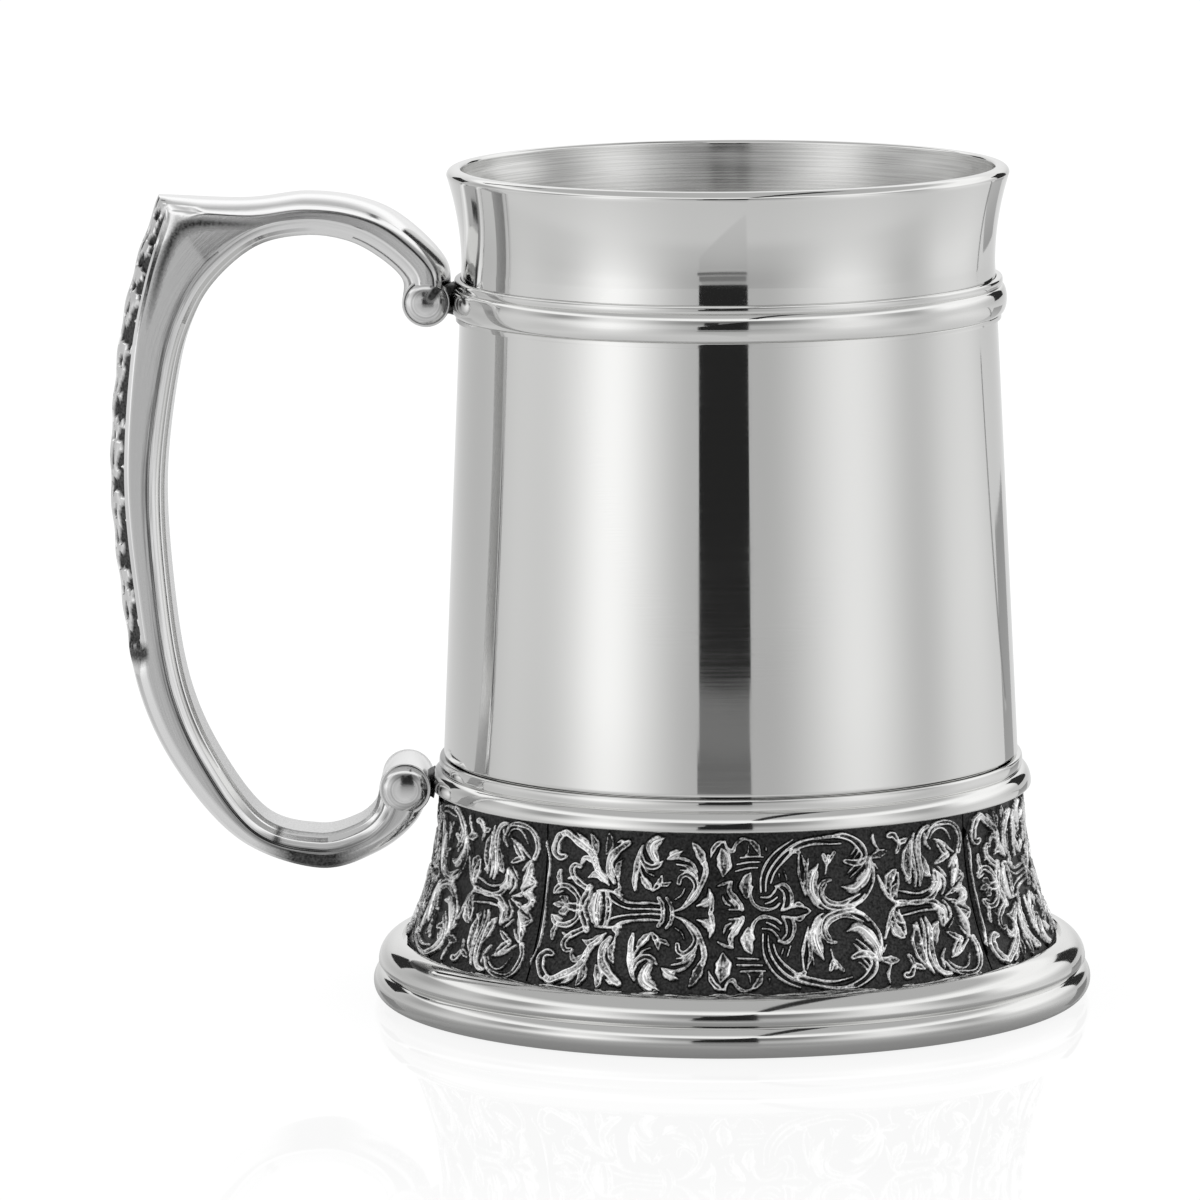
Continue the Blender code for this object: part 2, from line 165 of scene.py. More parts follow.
def turning_lines_group():
    """Fine lines that a lathe tool or a polishing mop leaves round the axis, and slow smears across them."""
    group, given, out = node_group("turning_lines", {"Pitch": 4000.0, "Smear": 60.0}, ["Lines", "Smears"])
    place = wired(group, "TexCoord").outputs["Object"]
    split = wired(group, "SeparateXYZ", {0: place})
    flat = wired(group, "CombineXYZ", {"X": split.outputs["X"], "Y": split.outputs["Y"]})
    radius = wired(group, "VectorMath", {0: flat}, operation="LENGTH")
    across = wired(group, "Math", {0: split.outputs["Z"], 1: radius}, operation="ADD")
    fine = wired(group, "Math", {0: across, 1: given.outputs["Pitch"]}, operation="MULTIPLY")
    stack = wired(group, "CombineXYZ", {"Z": fine})
    slow = wired(group, "VectorMath", {0: flat, "Scale": given.outputs["Smear"]}, operation="SCALE")
    drawn_out = wired(group, "VectorMath", {0: slow, 1: stack}, operation="ADD")
    lines = wired(group, "TexNoise", {"Vector": drawn_out, "Scale": 1.0, "Detail": 3.0})
    smears = wired(group, "TexNoise", {"Vector": place, "Scale": given.outputs["Smear"], "Detail": 4.0})
    group.links.new(lines.outputs["Fac"], out.inputs["Lines"])
    group.links.new(smears.outputs["Fac"], out.inputs["Smears"])
    return group


turning_lines = turning_lines_group()


def metal(name, colour, roughness):
    """A bare metal material; returns it with its node tree and shader."""
    material = bpy.data.materials.new(name)
    material.use_nodes = True
    tree = material.node_tree
    shader = tree.nodes["Principled BSDF"]
    shader.inputs["Base Color"].default_value = (*colour, 1.0)
    shader.inputs["Metallic"].default_value = 1.0
    shader.inputs["Roughness"].default_value = roughness
    return material, tree, shader


def turned_pewter(name, colour, smooth, rough, pitch, depth):
    """Lathe-turned pewter: roughness from smears and lines, and shallow lines in the surface. Returns the
    material, its node tree, its shader and the socket that gives the lines."""
    material, tree, shader = metal(name, colour, smooth)
    group = wired(tree, "Group", {"Pitch": pitch}, node_tree=turning_lines)
    lines = group.outputs["Lines"]
    both = wired(tree, "Math", {0: lines, 1: group.outputs["Smears"]}, operation="MULTIPLY")
    tree.links.new(spread(tree, both, smooth, rough, 0.12, 0.40), shader.inputs["Roughness"])
    bump = wired(tree, "Bump", {"Strength": 1.0, "Distance": depth, "Height": lines})
    tree.links.new(bump.outputs["Normal"], shader.inputs["Normal"])
    return material, tree, shader, lines


polish = (0.76, 0.76, 0.75)
taper_z = shoulder_z + inside_taper
flare_levels = list(np.linspace(lip_z, neck_z, 33))
ledge_z = shoulder_z + shoulder_round
outside = arc((mouth_radius + lip_inner_round, rim_z - lip_inner_round), (lip_inner_round, lip_inner_round),
              180, 90, 8)
outside += arc((lip_radius - lip_outer_round, lip_z), (lip_outer_round, lip_wall / 2), 90, 0, 16)
outside += [(drum_radius(z), z) for z in flare_levels[1:]]
outside += [(drum_radius(z), z) for z in np.linspace(neck_z, ledge_z + 2 * shoulder_round, 9)[1:]]
outside += [(drum_radius(ledge_z + shoulder_round), ledge_z + shoulder_round)]
outside += arc((shoulder_radius - shoulder_round, ledge_z), (shoulder_round, shoulder_round), -20, -90, 3)
outside += [(spigot_radius, shoulder_z), (spigot_radius, spigot_end_z)]
bore = spigot_radius - spigot_wall
inside = [(bore, spigot_end_z), (bore, shoulder_z)]
inside += [(bore_radius(z), z) for z in np.linspace(taper_z, neck_z, 9)]
inside += [(bore_radius(z), z) for z in reversed(flare_levels[1:-1])]
drum = turned("drum_shell", outside + inside)
drum_finish = turned_pewter("drum_polish", polish, smooth=0.03, rough=0.07, pitch=5200.0, depth=0.0000003)[0]
dress(drum, drum_finish, "drum")
satin_inside, satin_tree, satin_shader, bore_lines = turned_pewter(
    "bore_satin", (0.72, 0.72, 0.71), smooth=0.18, rough=0.26, pitch=5000.0, depth=0.0000008)
satin_shader.inputs["Anisotropic"].default_value = 0.7
satin_shader.inputs["Anisotropic Rotation"].default_value = 0.25
brushed_way = wired(satin_tree, "Tangent", direction_type="RADIAL", axis="Z")
satin_tree.links.new(brushed_way.outputs["Tangent"], satin_shader.inputs["Tangent"])
streaks = wired(satin_tree, "Mix", {
    "Factor": spread(satin_tree, bore_lines, 0.0, 1.0, 0.36, 0.62),
    "A": (0.64, 0.64, 0.63, 1.0), "B": (0.80, 0.80, 0.79, 1.0)}, data_type="RGBA")
satin_tree.links.new(streaks.outputs["Result"], satin_shader.inputs["Base Color"])
drum.data.materials.append(satin_inside)
for face in drum.data.polygons:
    inward = face.normal.x * face.center.x + face.normal.y * face.center.y < 0.0
    if inward and face.center.z < rim_z - lip_inner_round:
        face.material_index = 1

# Vessel floor: a satin pewter disc with the lathe's facing marks, soldered into the drum's lower end. Its
# edge is hidden in the spigot, and its upper corner is rounded a little.
floor_low, floor_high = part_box("vessel_floor")
floor_round = 0.0004
floor_inner_ring = 0.004
disc_steps = 144
floor_edge = floor_high.x - floor_round
floor_profile = [(0.0, floor_high.z)]
floor_profile += [(r, floor_high.z) for r in np.linspace(floor_inner_ring, floor_edge, 10)]
floor_profile += arc((floor_edge, floor_high.z - floor_round), (floor_round, floor_round), 75, 0, 4)
floor_profile += [(floor_high.x, floor_low.z), (0.0, floor_low.z)]
vessel_floor = turned("vessel_floor_disc", floor_profile, disc_steps)
faced = (0.66, 0.66, 0.65)
floor_satin = turned_pewter("floor_satin", faced, smooth=0.28, rough=0.44, pitch=3200.0, depth=0.000003)[0]
dress(vessel_floor, floor_satin, "vessel_floor")

# Bead ring: a turned moulding of a thin top fillet, a half-round bead and a low heel fillet. It is soldered
# round the drum under the mouth and polished with it.
bead_low, bead_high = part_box("bead_ring")
bead_top_z, bead_bottom_z = bead_high.z, bead_low.z
bead_projection = 0.00152
bead_fillet = 0.00105
bead_notch = 0.0008
bead_heel = 0.0006
bead_fillet_height = 0.0012
bead_heel_height = 0.0008
bead_heel_round = 0.0002
# Solder oxide and painted shade round the upper lug's joint: its reach, the share at full darkness, its grey.
bead_stain_and_shade = 0.0135
stain_and_shade_core = 0.6
stain_and_shade_grey = (0.14, 0.14, 0.14, 1.0)
bead_notch_z = bead_top_z - bead_fillet_height
bead_heel_z = bead_bottom_z + bead_heel_height
bead_mid_z = (bead_notch_z + bead_heel_z) / 2
bead_half = (bead_notch_z - bead_heel_z) / 2
notch_radius = drum_radius(bead_notch_z) + bead_notch
bead_crest = drum_radius(bead_mid_z) + bead_projection
fillet_reach = drum_radius(bead_top_z) + bead_fillet - notch_radius
heel_radius = drum_radius(bead_heel_z) + bead_heel
bead_profile = arc((notch_radius, bead_top_z - bead_fillet_height / 2),
                   (fillet_reach, bead_fillet_height / 2), 90, -80, 10)
bead_profile += arc((notch_radius, bead_mid_z), (bead_crest - notch_radius, bead_half), 78, -76, 24)
bead_profile += arc((heel_radius - bead_heel_round, bead_heel_z - bead_heel_round),
                    (bead_heel_round, bead_heel_round), 80, 0, 4)
bead_profile += [(heel_radius, bead_bottom_z)]
bead_profile += [(drum_radius(z) + solder_gap / 3, z) for z in (bead_bottom_z, bead_top_z)]
bead_ring = turned("bead_moulding", bead_profile)


def solder_stain_and_shade(tree, shader, spot, reach):
    """Dark oxide that soldering the handle on has left round a spot of a polished piece, and painted shade of
    the joint there.
    """
    place = wired(tree, "TexCoord").outputs["Object"]
    away = wired(tree, "VectorMath", {0: place, 1: spot}, operation="DISTANCE")
    stained_and_shaded = wired(tree, "Mix", {
        "Factor": spread(tree, away, 0.0, 1.0, stain_and_shade_core * reach, reach), "A": stain_and_shade_grey,
        "B": tuple(shader.inputs["Base Color"].default_value)}, data_type="RGBA")
    tree.links.new(stained_and_shaded.outputs["Result"], shader.inputs["Base Color"])


bead_finish, bead_tree, bead_shader = turned_pewter(
    "bead_polish", polish, smooth=0.04, rough=0.08, pitch=5200.0, depth=0.0000003)[:3]
solder_stain_and_shade(bead_tree, bead_shader, (-bead_crest, 0.0, bead_mid_z), bead_stain_and_shade)
dress(bead_ring, bead_finish, "bead_ring")

# Collar ring: a turned moulding of a small fillet over a quarter-round with a crisp lower edge. It is
# soldered on the spigot under the drum's shoulder and shelters the top edge of the frieze.
collar_low, collar_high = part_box("collar_ring")
collar_fillet_height = 0.0018
collar_fillet = 0.0007
collar_waist = 0.0005
collar_edge = 0.0003
# Reach of the solder oxide and painted shade round the lower lug's joint.
collar_stain_and_shade = 0.0145
collar_notch_z = collar_high.z - collar_fillet_height
collar_crest_z = collar_low.z + collar_edge
waist_radius = shoulder_radius + collar_waist
collar_profile = arc((waist_radius, collar_high.z - collar_fillet_height / 2),
                     (collar_fillet - collar_waist, collar_fillet_height / 2), 90, -80, 10)
collar_profile += arc((waist_radius, collar_crest_z),
                      (collar_high.x - waist_radius, collar_notch_z - collar_crest_z), 80, 0, 24)
collar_profile += arc((collar_high.x - collar_edge, collar_crest_z),
                      (collar_edge, collar_edge), 0, -90, 6)[1:]
collar_profile += [(spigot_radius + solder_gap, collar_low.z), (spigot_radius + solder_gap, collar_high.z)]
collar_ring = turned("collar_moulding", collar_profile)
collar_finish, collar_tree, collar_shader = turned_pewter(
    "collar_polish", polish, smooth=0.04, rough=0.08, pitch=5200.0, depth=0.0000003)[:3]
solder_stain_and_shade(collar_tree, collar_shader, (-collar_high.x, 0.0, collar_crest_z), collar_stain_and_shade)
dress(collar_ring, collar_finish, "collar_ring")

# Frieze: four alike cast panels of scrolling acanthus, soldered round the spigot edge to edge. The ground is
# blackened with acid, and the raised ornament is rubbed bright again.
panel_low, panel_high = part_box("frieze_panel_1")
frieze_bottom_z, frieze_top_z = panel_low.z, panel_high.z
panel_thickness = 0.0016
frieze_top_radius = spigot_radius + solder_gap + panel_thickness
frieze_flare = 0.0055
frieze_curve = 2.15
panel_count = 4
panel_pitch = math.tau / panel_count
panel_seam_turn = math.radians(-128.2)
seam_turn = solder_gap / frieze_top_radius
ground_depth = 0.00048
relief_height = 0.00084
stroke_fullness = 1.30
stroke_steps = 9
stroke_waver = 5.0
waver_lengths, waver_starts = (83.0, 61.0), (0.7, 2.1)
stroke_ripple, ripple_turns = 0.10, 17.0
stroke_flank = 0.48
thinnest_stroke = 2.0
panel_columns, panel_rows = 552, 168
oxide_black = 0.042
rubbed_bright = 0.94

# The ornament is drawn on a sheet of 0.02 mm units. Each line is a brush stroke: its kind, its width at the
# start, middle and end, and the places it runs through, counted down from the sheet's top. Only the upper
# half is drawn, and the lower half mirrors it about the mid-line.
sheet_unit = 0.00002
sheet_radius = 0.0458366
sheet_mid_line = 607
crown_and_vase = (
    ("ridge", (10, 16, 16), (52, 75), (72, 180), (112, 310), (106, 450), (104, 607)),
    ("ridge", (40, 72, 56), (248, 256), (200, 262), (160, 228), (164, 165), (196, 112), (240, 88)),
    ("veined", (50, 58, 50), (236, 84), (275, 80), (345, 118), (420, 160), (492, 208), (528, 280)),
    ("veined", (50, 48, 14), (520, 250), (550, 330), (604, 378), (652, 438)),
    ("leaf", (8, 66, 8), (474, 58), (515, 130), (528, 226)),
    ("ridge", (10, 30, 24), (352, 62), (420, 105), (470, 160)),
    ("veined", (34, 44, 30), (404, 278), (436, 240), (498, 262), (536, 318)),
    ("leaf", (8, 60, 8), (464, 386), (548, 362), (650, 436)),
    ("ridge", (40, 46, 34), (405, 607), (402, 545), (362, 498), (300, 468), (236, 470), (196, 492),
     (178, 524)),
    ("ridge", (30, 42, 34), (216, 362), (212, 410), (230, 462)),
    ("ridge", (12, 22, 18), (178, 528), (220, 522), (258, 506)),
    ("ridge", (50, 62, 46), (428, 607), (440, 556), (470, 505), (490, 452)),
    ("ridge", (46, 50, 34), (470, 462), (410, 432), (350, 392), (324, 340), (348, 302), (392, 308)),
    ("ridge", (10, 28, 28), (284, 418), (330, 398), (366, 404)),
    ("ridge", (34, 70, 60), (296, 607), (350, 607), (420, 607)),
    ("leaf", (8, 60, 8), (222, 552), (272, 562), (320, 602)),
    ("leaf", (8, 48, 8), (166, 607), (220, 607), (290, 607)),
    ("lens", (24, 96, 116), (572, 484), (552, 540), (540, 607)),
    ("ridge", (24, 44, 52), (632, 482), (648, 540), (654, 607)),
    ("ridge", (22, 26, 20), (556, 480), (640, 476), (700, 486), (760, 522), (850, 544), (1050, 548)),
    ("ridge", (14, 20, 20), (636, 518), (710, 558), (800, 582), (900, 588), (1050, 590)),
    ("ridge", (28, 34, 36), (1046, 506), (1074, 545), (1082, 607)),
    ("ridge", (24, 32, 36), (1110, 500), (1142, 545), (1152, 607)),
    ("leaf", (10, 68, 8), (636, 48), (640, 130), (608, 216)),
    ("veined", (34, 70, 44), (692, 412), (652, 335), (650, 250), (698, 182), (752, 136), (796, 104)),
    ("ridge", (10, 26, 12), (696, 118), (742, 98), (796, 104)),
    ("leaf", (8, 50, 8), (748, 232), (712, 300), (728, 402)),
    ("ridge", (18, 32, 22), (728, 412), (738, 450), (708, 472), (760, 492)),
)
acanthus_scroll = (
    ("lens", (10, 92, 46), (1088, 62), (1000, 108), (982, 168), (1016, 236)),
    ("veined", (18, 54, 28), (908, 124), (880, 200), (866, 300), (858, 380), (862, 452)),
    ("ridge", (14, 20, 14), (880, 250), (908, 330), (968, 410), (1004, 456)),
    ("ridge", (34, 50, 22), (890, 190), (922, 258), (980, 286), (1036, 272), (1066, 240)),
    ("leaf", (8, 62, 8), (898, 352), (948, 400), (1000, 462)),
    ("ridge", (10, 18, 12), (906, 250), (950, 322), (1010, 350)),
    ("ridge", (22, 50, 16), (1004, 456), (1052, 402), (1070, 342)),
    ("ridge", (28, 36, 10), (1050, 408), (1104, 404), (1146, 378)),
    ("veined", (16, 42, 46), (1172, 588), (1250, 556), (1322, 492), (1376, 408), (1406, 316), (1398, 250)),
    ("leaf", (12, 72, 24), (1296, 92), (1352, 170), (1400, 280)),
    ("ridge", (12, 16, 12), (1172, 508), (1226, 472), (1250, 424)),
    ("ridge", (34, 44, 28), (1204, 388), (1216, 344), (1262, 326), (1316, 362), (1334, 420), (1302, 486),
     (1240, 552)),
    ("lens", (12, 58, 12), (1098, 220), (1156, 176), (1222, 152)),
    ("ridge", (16, 26, 20), (1108, 222), (1200, 206), (1290, 238), (1340, 312)),
    ("ridge", (12, 28, 22), (1172, 248), (1262, 268), (1326, 330), (1352, 392)),
    ("ridge", (10, 20, 12), (1205, 292), (1262, 300), (1318, 346)),
)
bows_and_knot = (
    ("lens", (10, 60, 18), (130, 560), (205, 535), (242, 500), (234, 430)),
    ("ridge", (16, 34, 38), (242, 440), (256, 510), (250, 570), (236, 607)),
    ("ridge", (12, 26, 22), (292, 412), (350, 386), (410, 370)),
    ("veined", (26, 50, 34), (404, 378), (388, 440), (424, 490), (458, 536), (478, 578)),
    ("ridge", (12, 18, 16), (366, 572), (424, 574), (476, 580)),
    ("ridge", (12, 24, 12), (334, 470), (352, 520), (392, 548)),
    ("ridge", (10, 20, 10), (376, 500), (412, 530), (430, 560)),
    ("leaf", (12, 122, 10), (338, 336), (344, 240), (318, 128)),
    ("ridge", (12, 40, 16), (238, 204), (258, 138), (302, 92), (352, 76)),
    ("ridge", (20, 30, 22), (344, 78), (366, 128), (408, 148), (428, 104), (482, 66), (540, 80)),
    ("leaf", (22, 48, 8), (536, 78), (584, 122), (618, 192)),
    ("ridge", (8, 14, 8), (528, 104), (522, 168), (500, 190)),
    ("ridge", (12, 17, 12), (462, 204), (550, 200), (642, 202)),
    ("ridge", (12, 17, 12), (438, 250), (520, 242), (622, 240)),
    ("ridge", (12, 17, 12), (428, 300), (510, 286), (600, 282)),
    ("ridge", (8, 16, 8), (658, 124), (664, 158)),
    ("leaf", (10, 98, 10), (548, 316), (512, 400), (518, 508)),
    ("ridge", (18, 30, 18), (566, 420), (546, 476), (560, 534), (606, 572), (664, 580), (724, 566),
     (762, 534)),
    ("ridge", (14, 20, 20), (620, 496), (684, 490), (724, 456), (750, 416)),
    ("ridge", (22, 30, 20), (736, 410), (800, 400), (842, 436), (860, 504), (838, 566), (772, 586)),
    ("ridge", (14, 19, 14), (650, 542), (704, 520), (752, 486)),
    ("ridge", (14, 22, 16), (762, 420), (800, 466), (794, 540), (770, 578)),
    ("ridge", (10, 16, 10), (862, 560), (900, 540), (940, 560)),
    ("ridge", (16, 22, 16), (810, 580), (890, 568), (960, 584), (992, 607)),
)
large_scroll = (
    ("ridge", (16, 21, 12), (626, 458), (626, 364), (648, 276), (702, 190), (776, 128), (872, 80)),
    ("ridge", (16, 24, 28), (662, 452), (672, 352), (714, 260), (792, 172), (900, 112), (1010, 84),
     (1120, 70), (1240, 66)),
    ("ridge", (16, 24, 16), (702, 390), (732, 310), (800, 230), (872, 170), (962, 136), (1084, 116),
     (1256, 130)),
    ("ridge", (26, 38, 26), (852, 162), (888, 168), (922, 178)),
    ("ridge", (8, 14, 8), (760, 310), (776, 366)),
    ("ridge", (8, 14, 8), (800, 296), (832, 380)),
    ("ridge", (14, 26, 12), (914, 188), (914, 280), (932, 384), (966, 500)),
    ("ridge", (12, 32, 12), (936, 196), (972, 290), (970, 366), (950, 436)),
    ("ridge", (8, 14, 8), (988, 216), (990, 260), (984, 312)),
    ("lens", (14, 92, 34), (1068, 262), (1022, 380), (1020, 470), (1058, 548)),
    ("ridge", (24, 42, 38), (1172, 384), (1112, 396), (1078, 446), (1080, 510), (1122, 566), (1210, 592),
     (1300, 596), (1400, 560)),
    ("ridge", (14, 34, 16), (1136, 414), (1106, 462), (1116, 510), (1160, 546), (1260, 560), (1400, 508)),
    ("ridge", (8, 16, 8), (990, 500), (1036, 566), (1100, 596)),
    ("ridge", (28, 34, 14), (1108, 194), (1122, 230), (1136, 270)),
    ("ridge", (20, 26, 14), (1150, 200), (1146, 236), (1138, 276)),
    ("ridge", (28, 32, 14), (1198, 186), (1168, 226), (1142, 276)),
    ("ridge", (18, 16, 10), (1138, 270), (1134, 304), (1128, 342)),
)
hooked_acanthus = (
    ("ridge", (28, 66, 38), (30, 66), (110, 74), (196, 112), (262, 170), (286, 222), (262, 268), (206, 282),
     (130, 264)),
    ("ridge", (10, 16, 10), (168, 228), (200, 192), (222, 166)),
    ("ridge", (10, 16, 10), (196, 250), (228, 214), (240, 186)),
    ("ridge", (12, 18, 14), (148, 356), (226, 286), (296, 240)),
    ("ridge", (12, 16, 12), (172, 386), (254, 318), (300, 272)),
    ("lens", (14, 84, 46), (98, 446), (190, 468), (270, 410), (326, 330), (334, 250)),
    ("ridge", (18, 24, 18), (336, 244), (370, 330), (362, 426), (324, 490)),
    ("ridge", (12, 18, 14), (150, 596), (250, 560), (322, 496)),
    ("ridge", (12, 16, 12), (180, 580), (236, 548), (284, 506)),
    ("leaf", (10, 66, 8), (344, 242), (410, 226), (494, 214)),
    ("ridge", (12, 26, 16), (368, 68), (372, 128), (408, 186)),
    ("ridge", (10, 16, 10), (376, 286), (392, 316), (410, 340)),
    ("ridge", (46, 50, 30), (508, 104), (546, 104), (590, 152)),
    ("ridge", (28, 46, 22), (586, 156), (626, 158), (674, 138)),
    ("ridge", (30, 34, 26), (602, 166), (592, 206), (576, 240)),
)
closing_scroll = (
    ("ridge", (22, 30, 24), (404, 382), (430, 436), (456, 506), (502, 572), (548, 602)),
    ("leaf", (18, 82, 14), (476, 488), (514, 410), (572, 360)),
    ("leaf", (14, 64, 24), (508, 566), (526, 510), (584, 466)),
    ("ridge", (18, 22, 22), (584, 384), (582, 450), (556, 500), (548, 560)),
    ("ridge", (18, 22, 22), (562, 516), (640, 528), (750, 544), (860, 532), (930, 508)),
    ("ridge", (24, 38, 40), (540, 592), (640, 600), (760, 604), (880, 588), (950, 540)),
    ("lens", (34, 90, 30), (880, 552), (950, 500), (944, 404)),
    ("ridge", (16, 26, 16), (964, 414), (1034, 474), (1026, 530), (984, 584)),
    ("ridge", (10, 14, 10), (1000, 474), (992, 520), (968, 560)),
    ("veined", (16, 42, 16), (746, 98), (716, 196), (724, 300), (750, 400), (734, 494)),
    ("leaf", (12, 90, 26), (712, 146), (668, 290), (688, 458)),
    ("lens", (12, 46, 12), (650, 452), (680, 430), (706, 400)),
    ("veined", (28, 54, 28), (892, 72), (826, 92), (782, 152), (776, 250), (794, 340), (800, 420),
     (776, 490)),
    ("ridge", (16, 28, 18), (852, 120), (862, 196), (908, 246)),
    ("leaf", (14, 76, 14), (806, 258), (836, 350), (892, 444)),
    ("lens", (12, 46, 16), (836, 430), (868, 426), (896, 442)),
    ("ridge", (18, 40, 46), (874, 160), (916, 96), (990, 66), (1100, 60), (1180, 92), (1226, 156),
     (1238, 226), (1214, 292)),
    ("ridge", (10, 18, 10), (900, 170), (950, 118), (1020, 98), (1082, 122), (1134, 194)),
    ("ridge", (16, 26, 18), (946, 178), (1030, 202), (1102, 250), (1160, 288)),
    ("ridge", (24, 56, 36), (978, 200), (1040, 262), (1092, 302)),
    ("ridge", (40, 46, 14), (1092, 302), (1030, 326), (962, 360)),
    ("ridge", (10, 16, 10), (986, 382), (1030, 420), (1066, 464)),
    ("ridge", (12, 24, 12), (1216, 290), (1150, 330), (1098, 396)),
    ("lens", (18, 84, 24), (1190, 320), (1164, 430), (1106, 530)),
    ("ridge", (34, 36, 16), (1160, 430), (1210, 446), (1254, 470)),
    ("ridge", (24, 34, 16), (1246, 490), (1160, 546), (1010, 598)),
    ("ridge", (10, 16, 10), (1120, 520), (1180, 496), (1232, 472)),
    ("lens", (24, 66, 66), (1130, 560), (1196, 566), (1232, 607)),
)
sheet_parts = ((-72, crown_and_vase + acanthus_scroll), (1128, bows_and_knot + large_scroll),
               (2288, hooked_acanthus + closing_scroll))


def smooth_line(points, steps):
    """A smooth curve through the points, evenly stepped between neighbours."""
    points = np.array(points, dtype=float)
    ends = np.vstack((2 * points[0] - points[1], points, 2 * points[-1] - points[-2]))
    t = np.arange(steps)[:, None] / steps
    runs = []
    for before, here, there, after in zip(ends, ends[1:], ends[2:], ends[3:]):
        bend = (2 * before - 5 * here + 4 * there - after) * t ** 2
        sway = (3 * here - before - 3 * there + after) * t ** 3
        runs.append((2 * here + (there - before) * t + bend + sway) / 2)
    return np.vstack(runs + [points[-1:]])


def brush(field, across, down, kind, widths, places):
    """Lays one stroke of the ornament into a height field, whose columns and rows lie at across and down. The
    hand wavers a little on its way, and the stroke swells from its ends to its middle."""
    run = smooth_line(places, stroke_steps)
    run = run + stroke_waver * np.sin(run[:, ::-1] / waver_lengths + waver_starts)
    steps = np.hypot(*np.diff(run, axis=0).T)
    shares = np.concatenate(((0.0,), np.cumsum(steps))) / steps.sum()
    reach = 0.7 * stroke_fullness * max(widths)
    first, last = np.searchsorted(across, (run[:, 0].min() - reach, run[:, 0].max() + reach))
    top, bottom = np.searchsorted(down, (run[:, 1].min() - reach, run[:, 1].max() + reach))
    x, y = np.meshgrid(across[first:last], down[top:bottom])
    nearest = np.full(x.shape, 1e9)
    share = np.zeros(x.shape)
    for start, end, low, high in zip(run, run[1:], shares, shares[1:]):
        way = end - start
        part = np.clip(((x - start[0]) * way[0] + (y - start[1]) * way[1]) / (way @ way + 1e-9), 0.0, 1.0)
        distance = np.hypot(x - start[0] - part * way[0], y - start[1] - part * way[1])
        closer = distance < nearest
        nearest[closer] = distance[closer]
        share[closer] = (low + part * (high - low))[closer]
    swell = np.sin(np.pi * np.clip(share, 0.0, 1.0))
    ends = np.where(share < 0.5, widths[0], widths[2])
    half = stroke_fullness * np.maximum((ends + (widths[1] - ends) * swell) / 2, thinnest_stroke)
    half *= 1.0 + stroke_ripple * np.sin(share * ripple_turns + places[0][0])
    aside = nearest / half
    tall = np.minimum(0.60 + half / 60.0, 1.0)
    broad = np.clip((half - 9.0) / 14.0, 0.0, 1.0)
    flank = np.clip((1.0 - aside) / stroke_flank, 0.0, 1.0)
    flank = flank * flank * (3.0 - 2.0 * flank)
    if kind == "hollow":
        height = tall * np.clip(1.0 - aside * aside, 0.0, 1.0) ** 0.7
    elif kind == "leaf":
        vein = 0.45 * swell * np.exp(-(aside / 0.16) ** 2)
        height = tall * flank * (1.0 - 0.95 * broad * np.clip(1.0 - aside / 0.62, 0.0, 1.0) ** 0.7 + vein)
    elif kind == "lens":
        grooves = 1.0
        height = tall * np.clip(1.0 - aside * aside, 0.0, 1.0) ** 0.6
        for depth, middle, width in ((0.50, 0.42, 0.11), (0.25, 0.76, 0.07)):
            grooves = grooves - depth * np.exp(-((aside - middle) / width) ** 2)
        height *= grooves
    else:
        height = tall * flank * (1.0 - 0.92 * broad * np.clip(1.0 - aside / 0.56, 0.0, 1.0) ** 0.9)
        if kind == "veined":
            height += 0.5 * tall * broad * np.exp(-(aside / 0.15) ** 2)
    patch = field[top:bottom, first:last]
    np.maximum(patch, height, out=patch)


def panel_relief():
    """Height of the ornament over one panel, 0 at the ground and 1 at the highest ridge."""
    columns, rows = 2 * panel_columns, 2 * panel_rows
    length = panel_pitch * sheet_radius / sheet_unit
    tall = (frieze_top_z - frieze_bottom_z) / sheet_unit
    across = (np.arange(columns) + 0.5) / columns * length
    down = ((np.arange(rows) + 0.5) / rows - 0.5) * tall
    field = np.zeros((rows, columns))
    for offset, strokes in sheet_parts:
        for kind, widths, *places in strokes:
            upper = [(x + offset, y - sheet_mid_line) for x, y in places]
            brush(field, across, down, kind, widths, upper)
            brush(field, across, down, kind, widths, [(x, -y) for x, y in upper])
    return field.reshape(panel_rows, 2, panel_columns, 2).mean(axis=(1, 3))


def panel_sheet():
    """One panel laid flat, 1 wide and 1 tall: a fine face, a plain back 1 behind it, and closed edges."""
    form = bmesh.new()
    bmesh.ops.create_grid(form, x_segments=panel_columns, y_segments=panel_rows, size=0.5)
    bmesh.ops.translate(form, verts=form.verts, vec=(0.5, 0.5, 0.0))
    rims = [e for e in form.edges if e.is_boundary and abs(e.verts[0].co.y - e.verts[1].co.y) < 1e-6]
    grown = bmesh.ops.extrude_edge_only(form, edges=rims)["geom"]
    behind = [v for v in grown if isinstance(v, bmesh.types.BMVert)]
    bmesh.ops.translate(form, verts=behind, vec=(0.0, 0.0, -1.0))
    lips = [e for e in grown if isinstance(e, bmesh.types.BMEdge) and all(v.co.z < -0.5 for v in e.verts)]
    bridges = bmesh.ops.bridge_loops(form, edges=lips)["edges"]
    bmesh.ops.subdivide_edges(form, edges=bridges, cuts=7)
    bmesh.ops.holes_fill(form, edges=[e for e in form.edges if e.is_boundary])
    bmesh.ops.recalc_face_normals(form, faces=form.faces)
    return form


def sampled(field, row, column):
    """Values of a field at places between its rows and columns."""
    row, column = row.clip(0, field.shape[0] - 1.001), column.clip(0, field.shape[1] - 1.001)
    top, left = row.astype(int), column.astype(int)
    down, along = row - top, column - left
    upper = field[top, left] * (1 - along) + field[top, left + 1] * along
    lower = field[top + 1, left] * (1 - along) + field[top + 1, left + 1] * along
    return upper * (1 - down) + lower * down


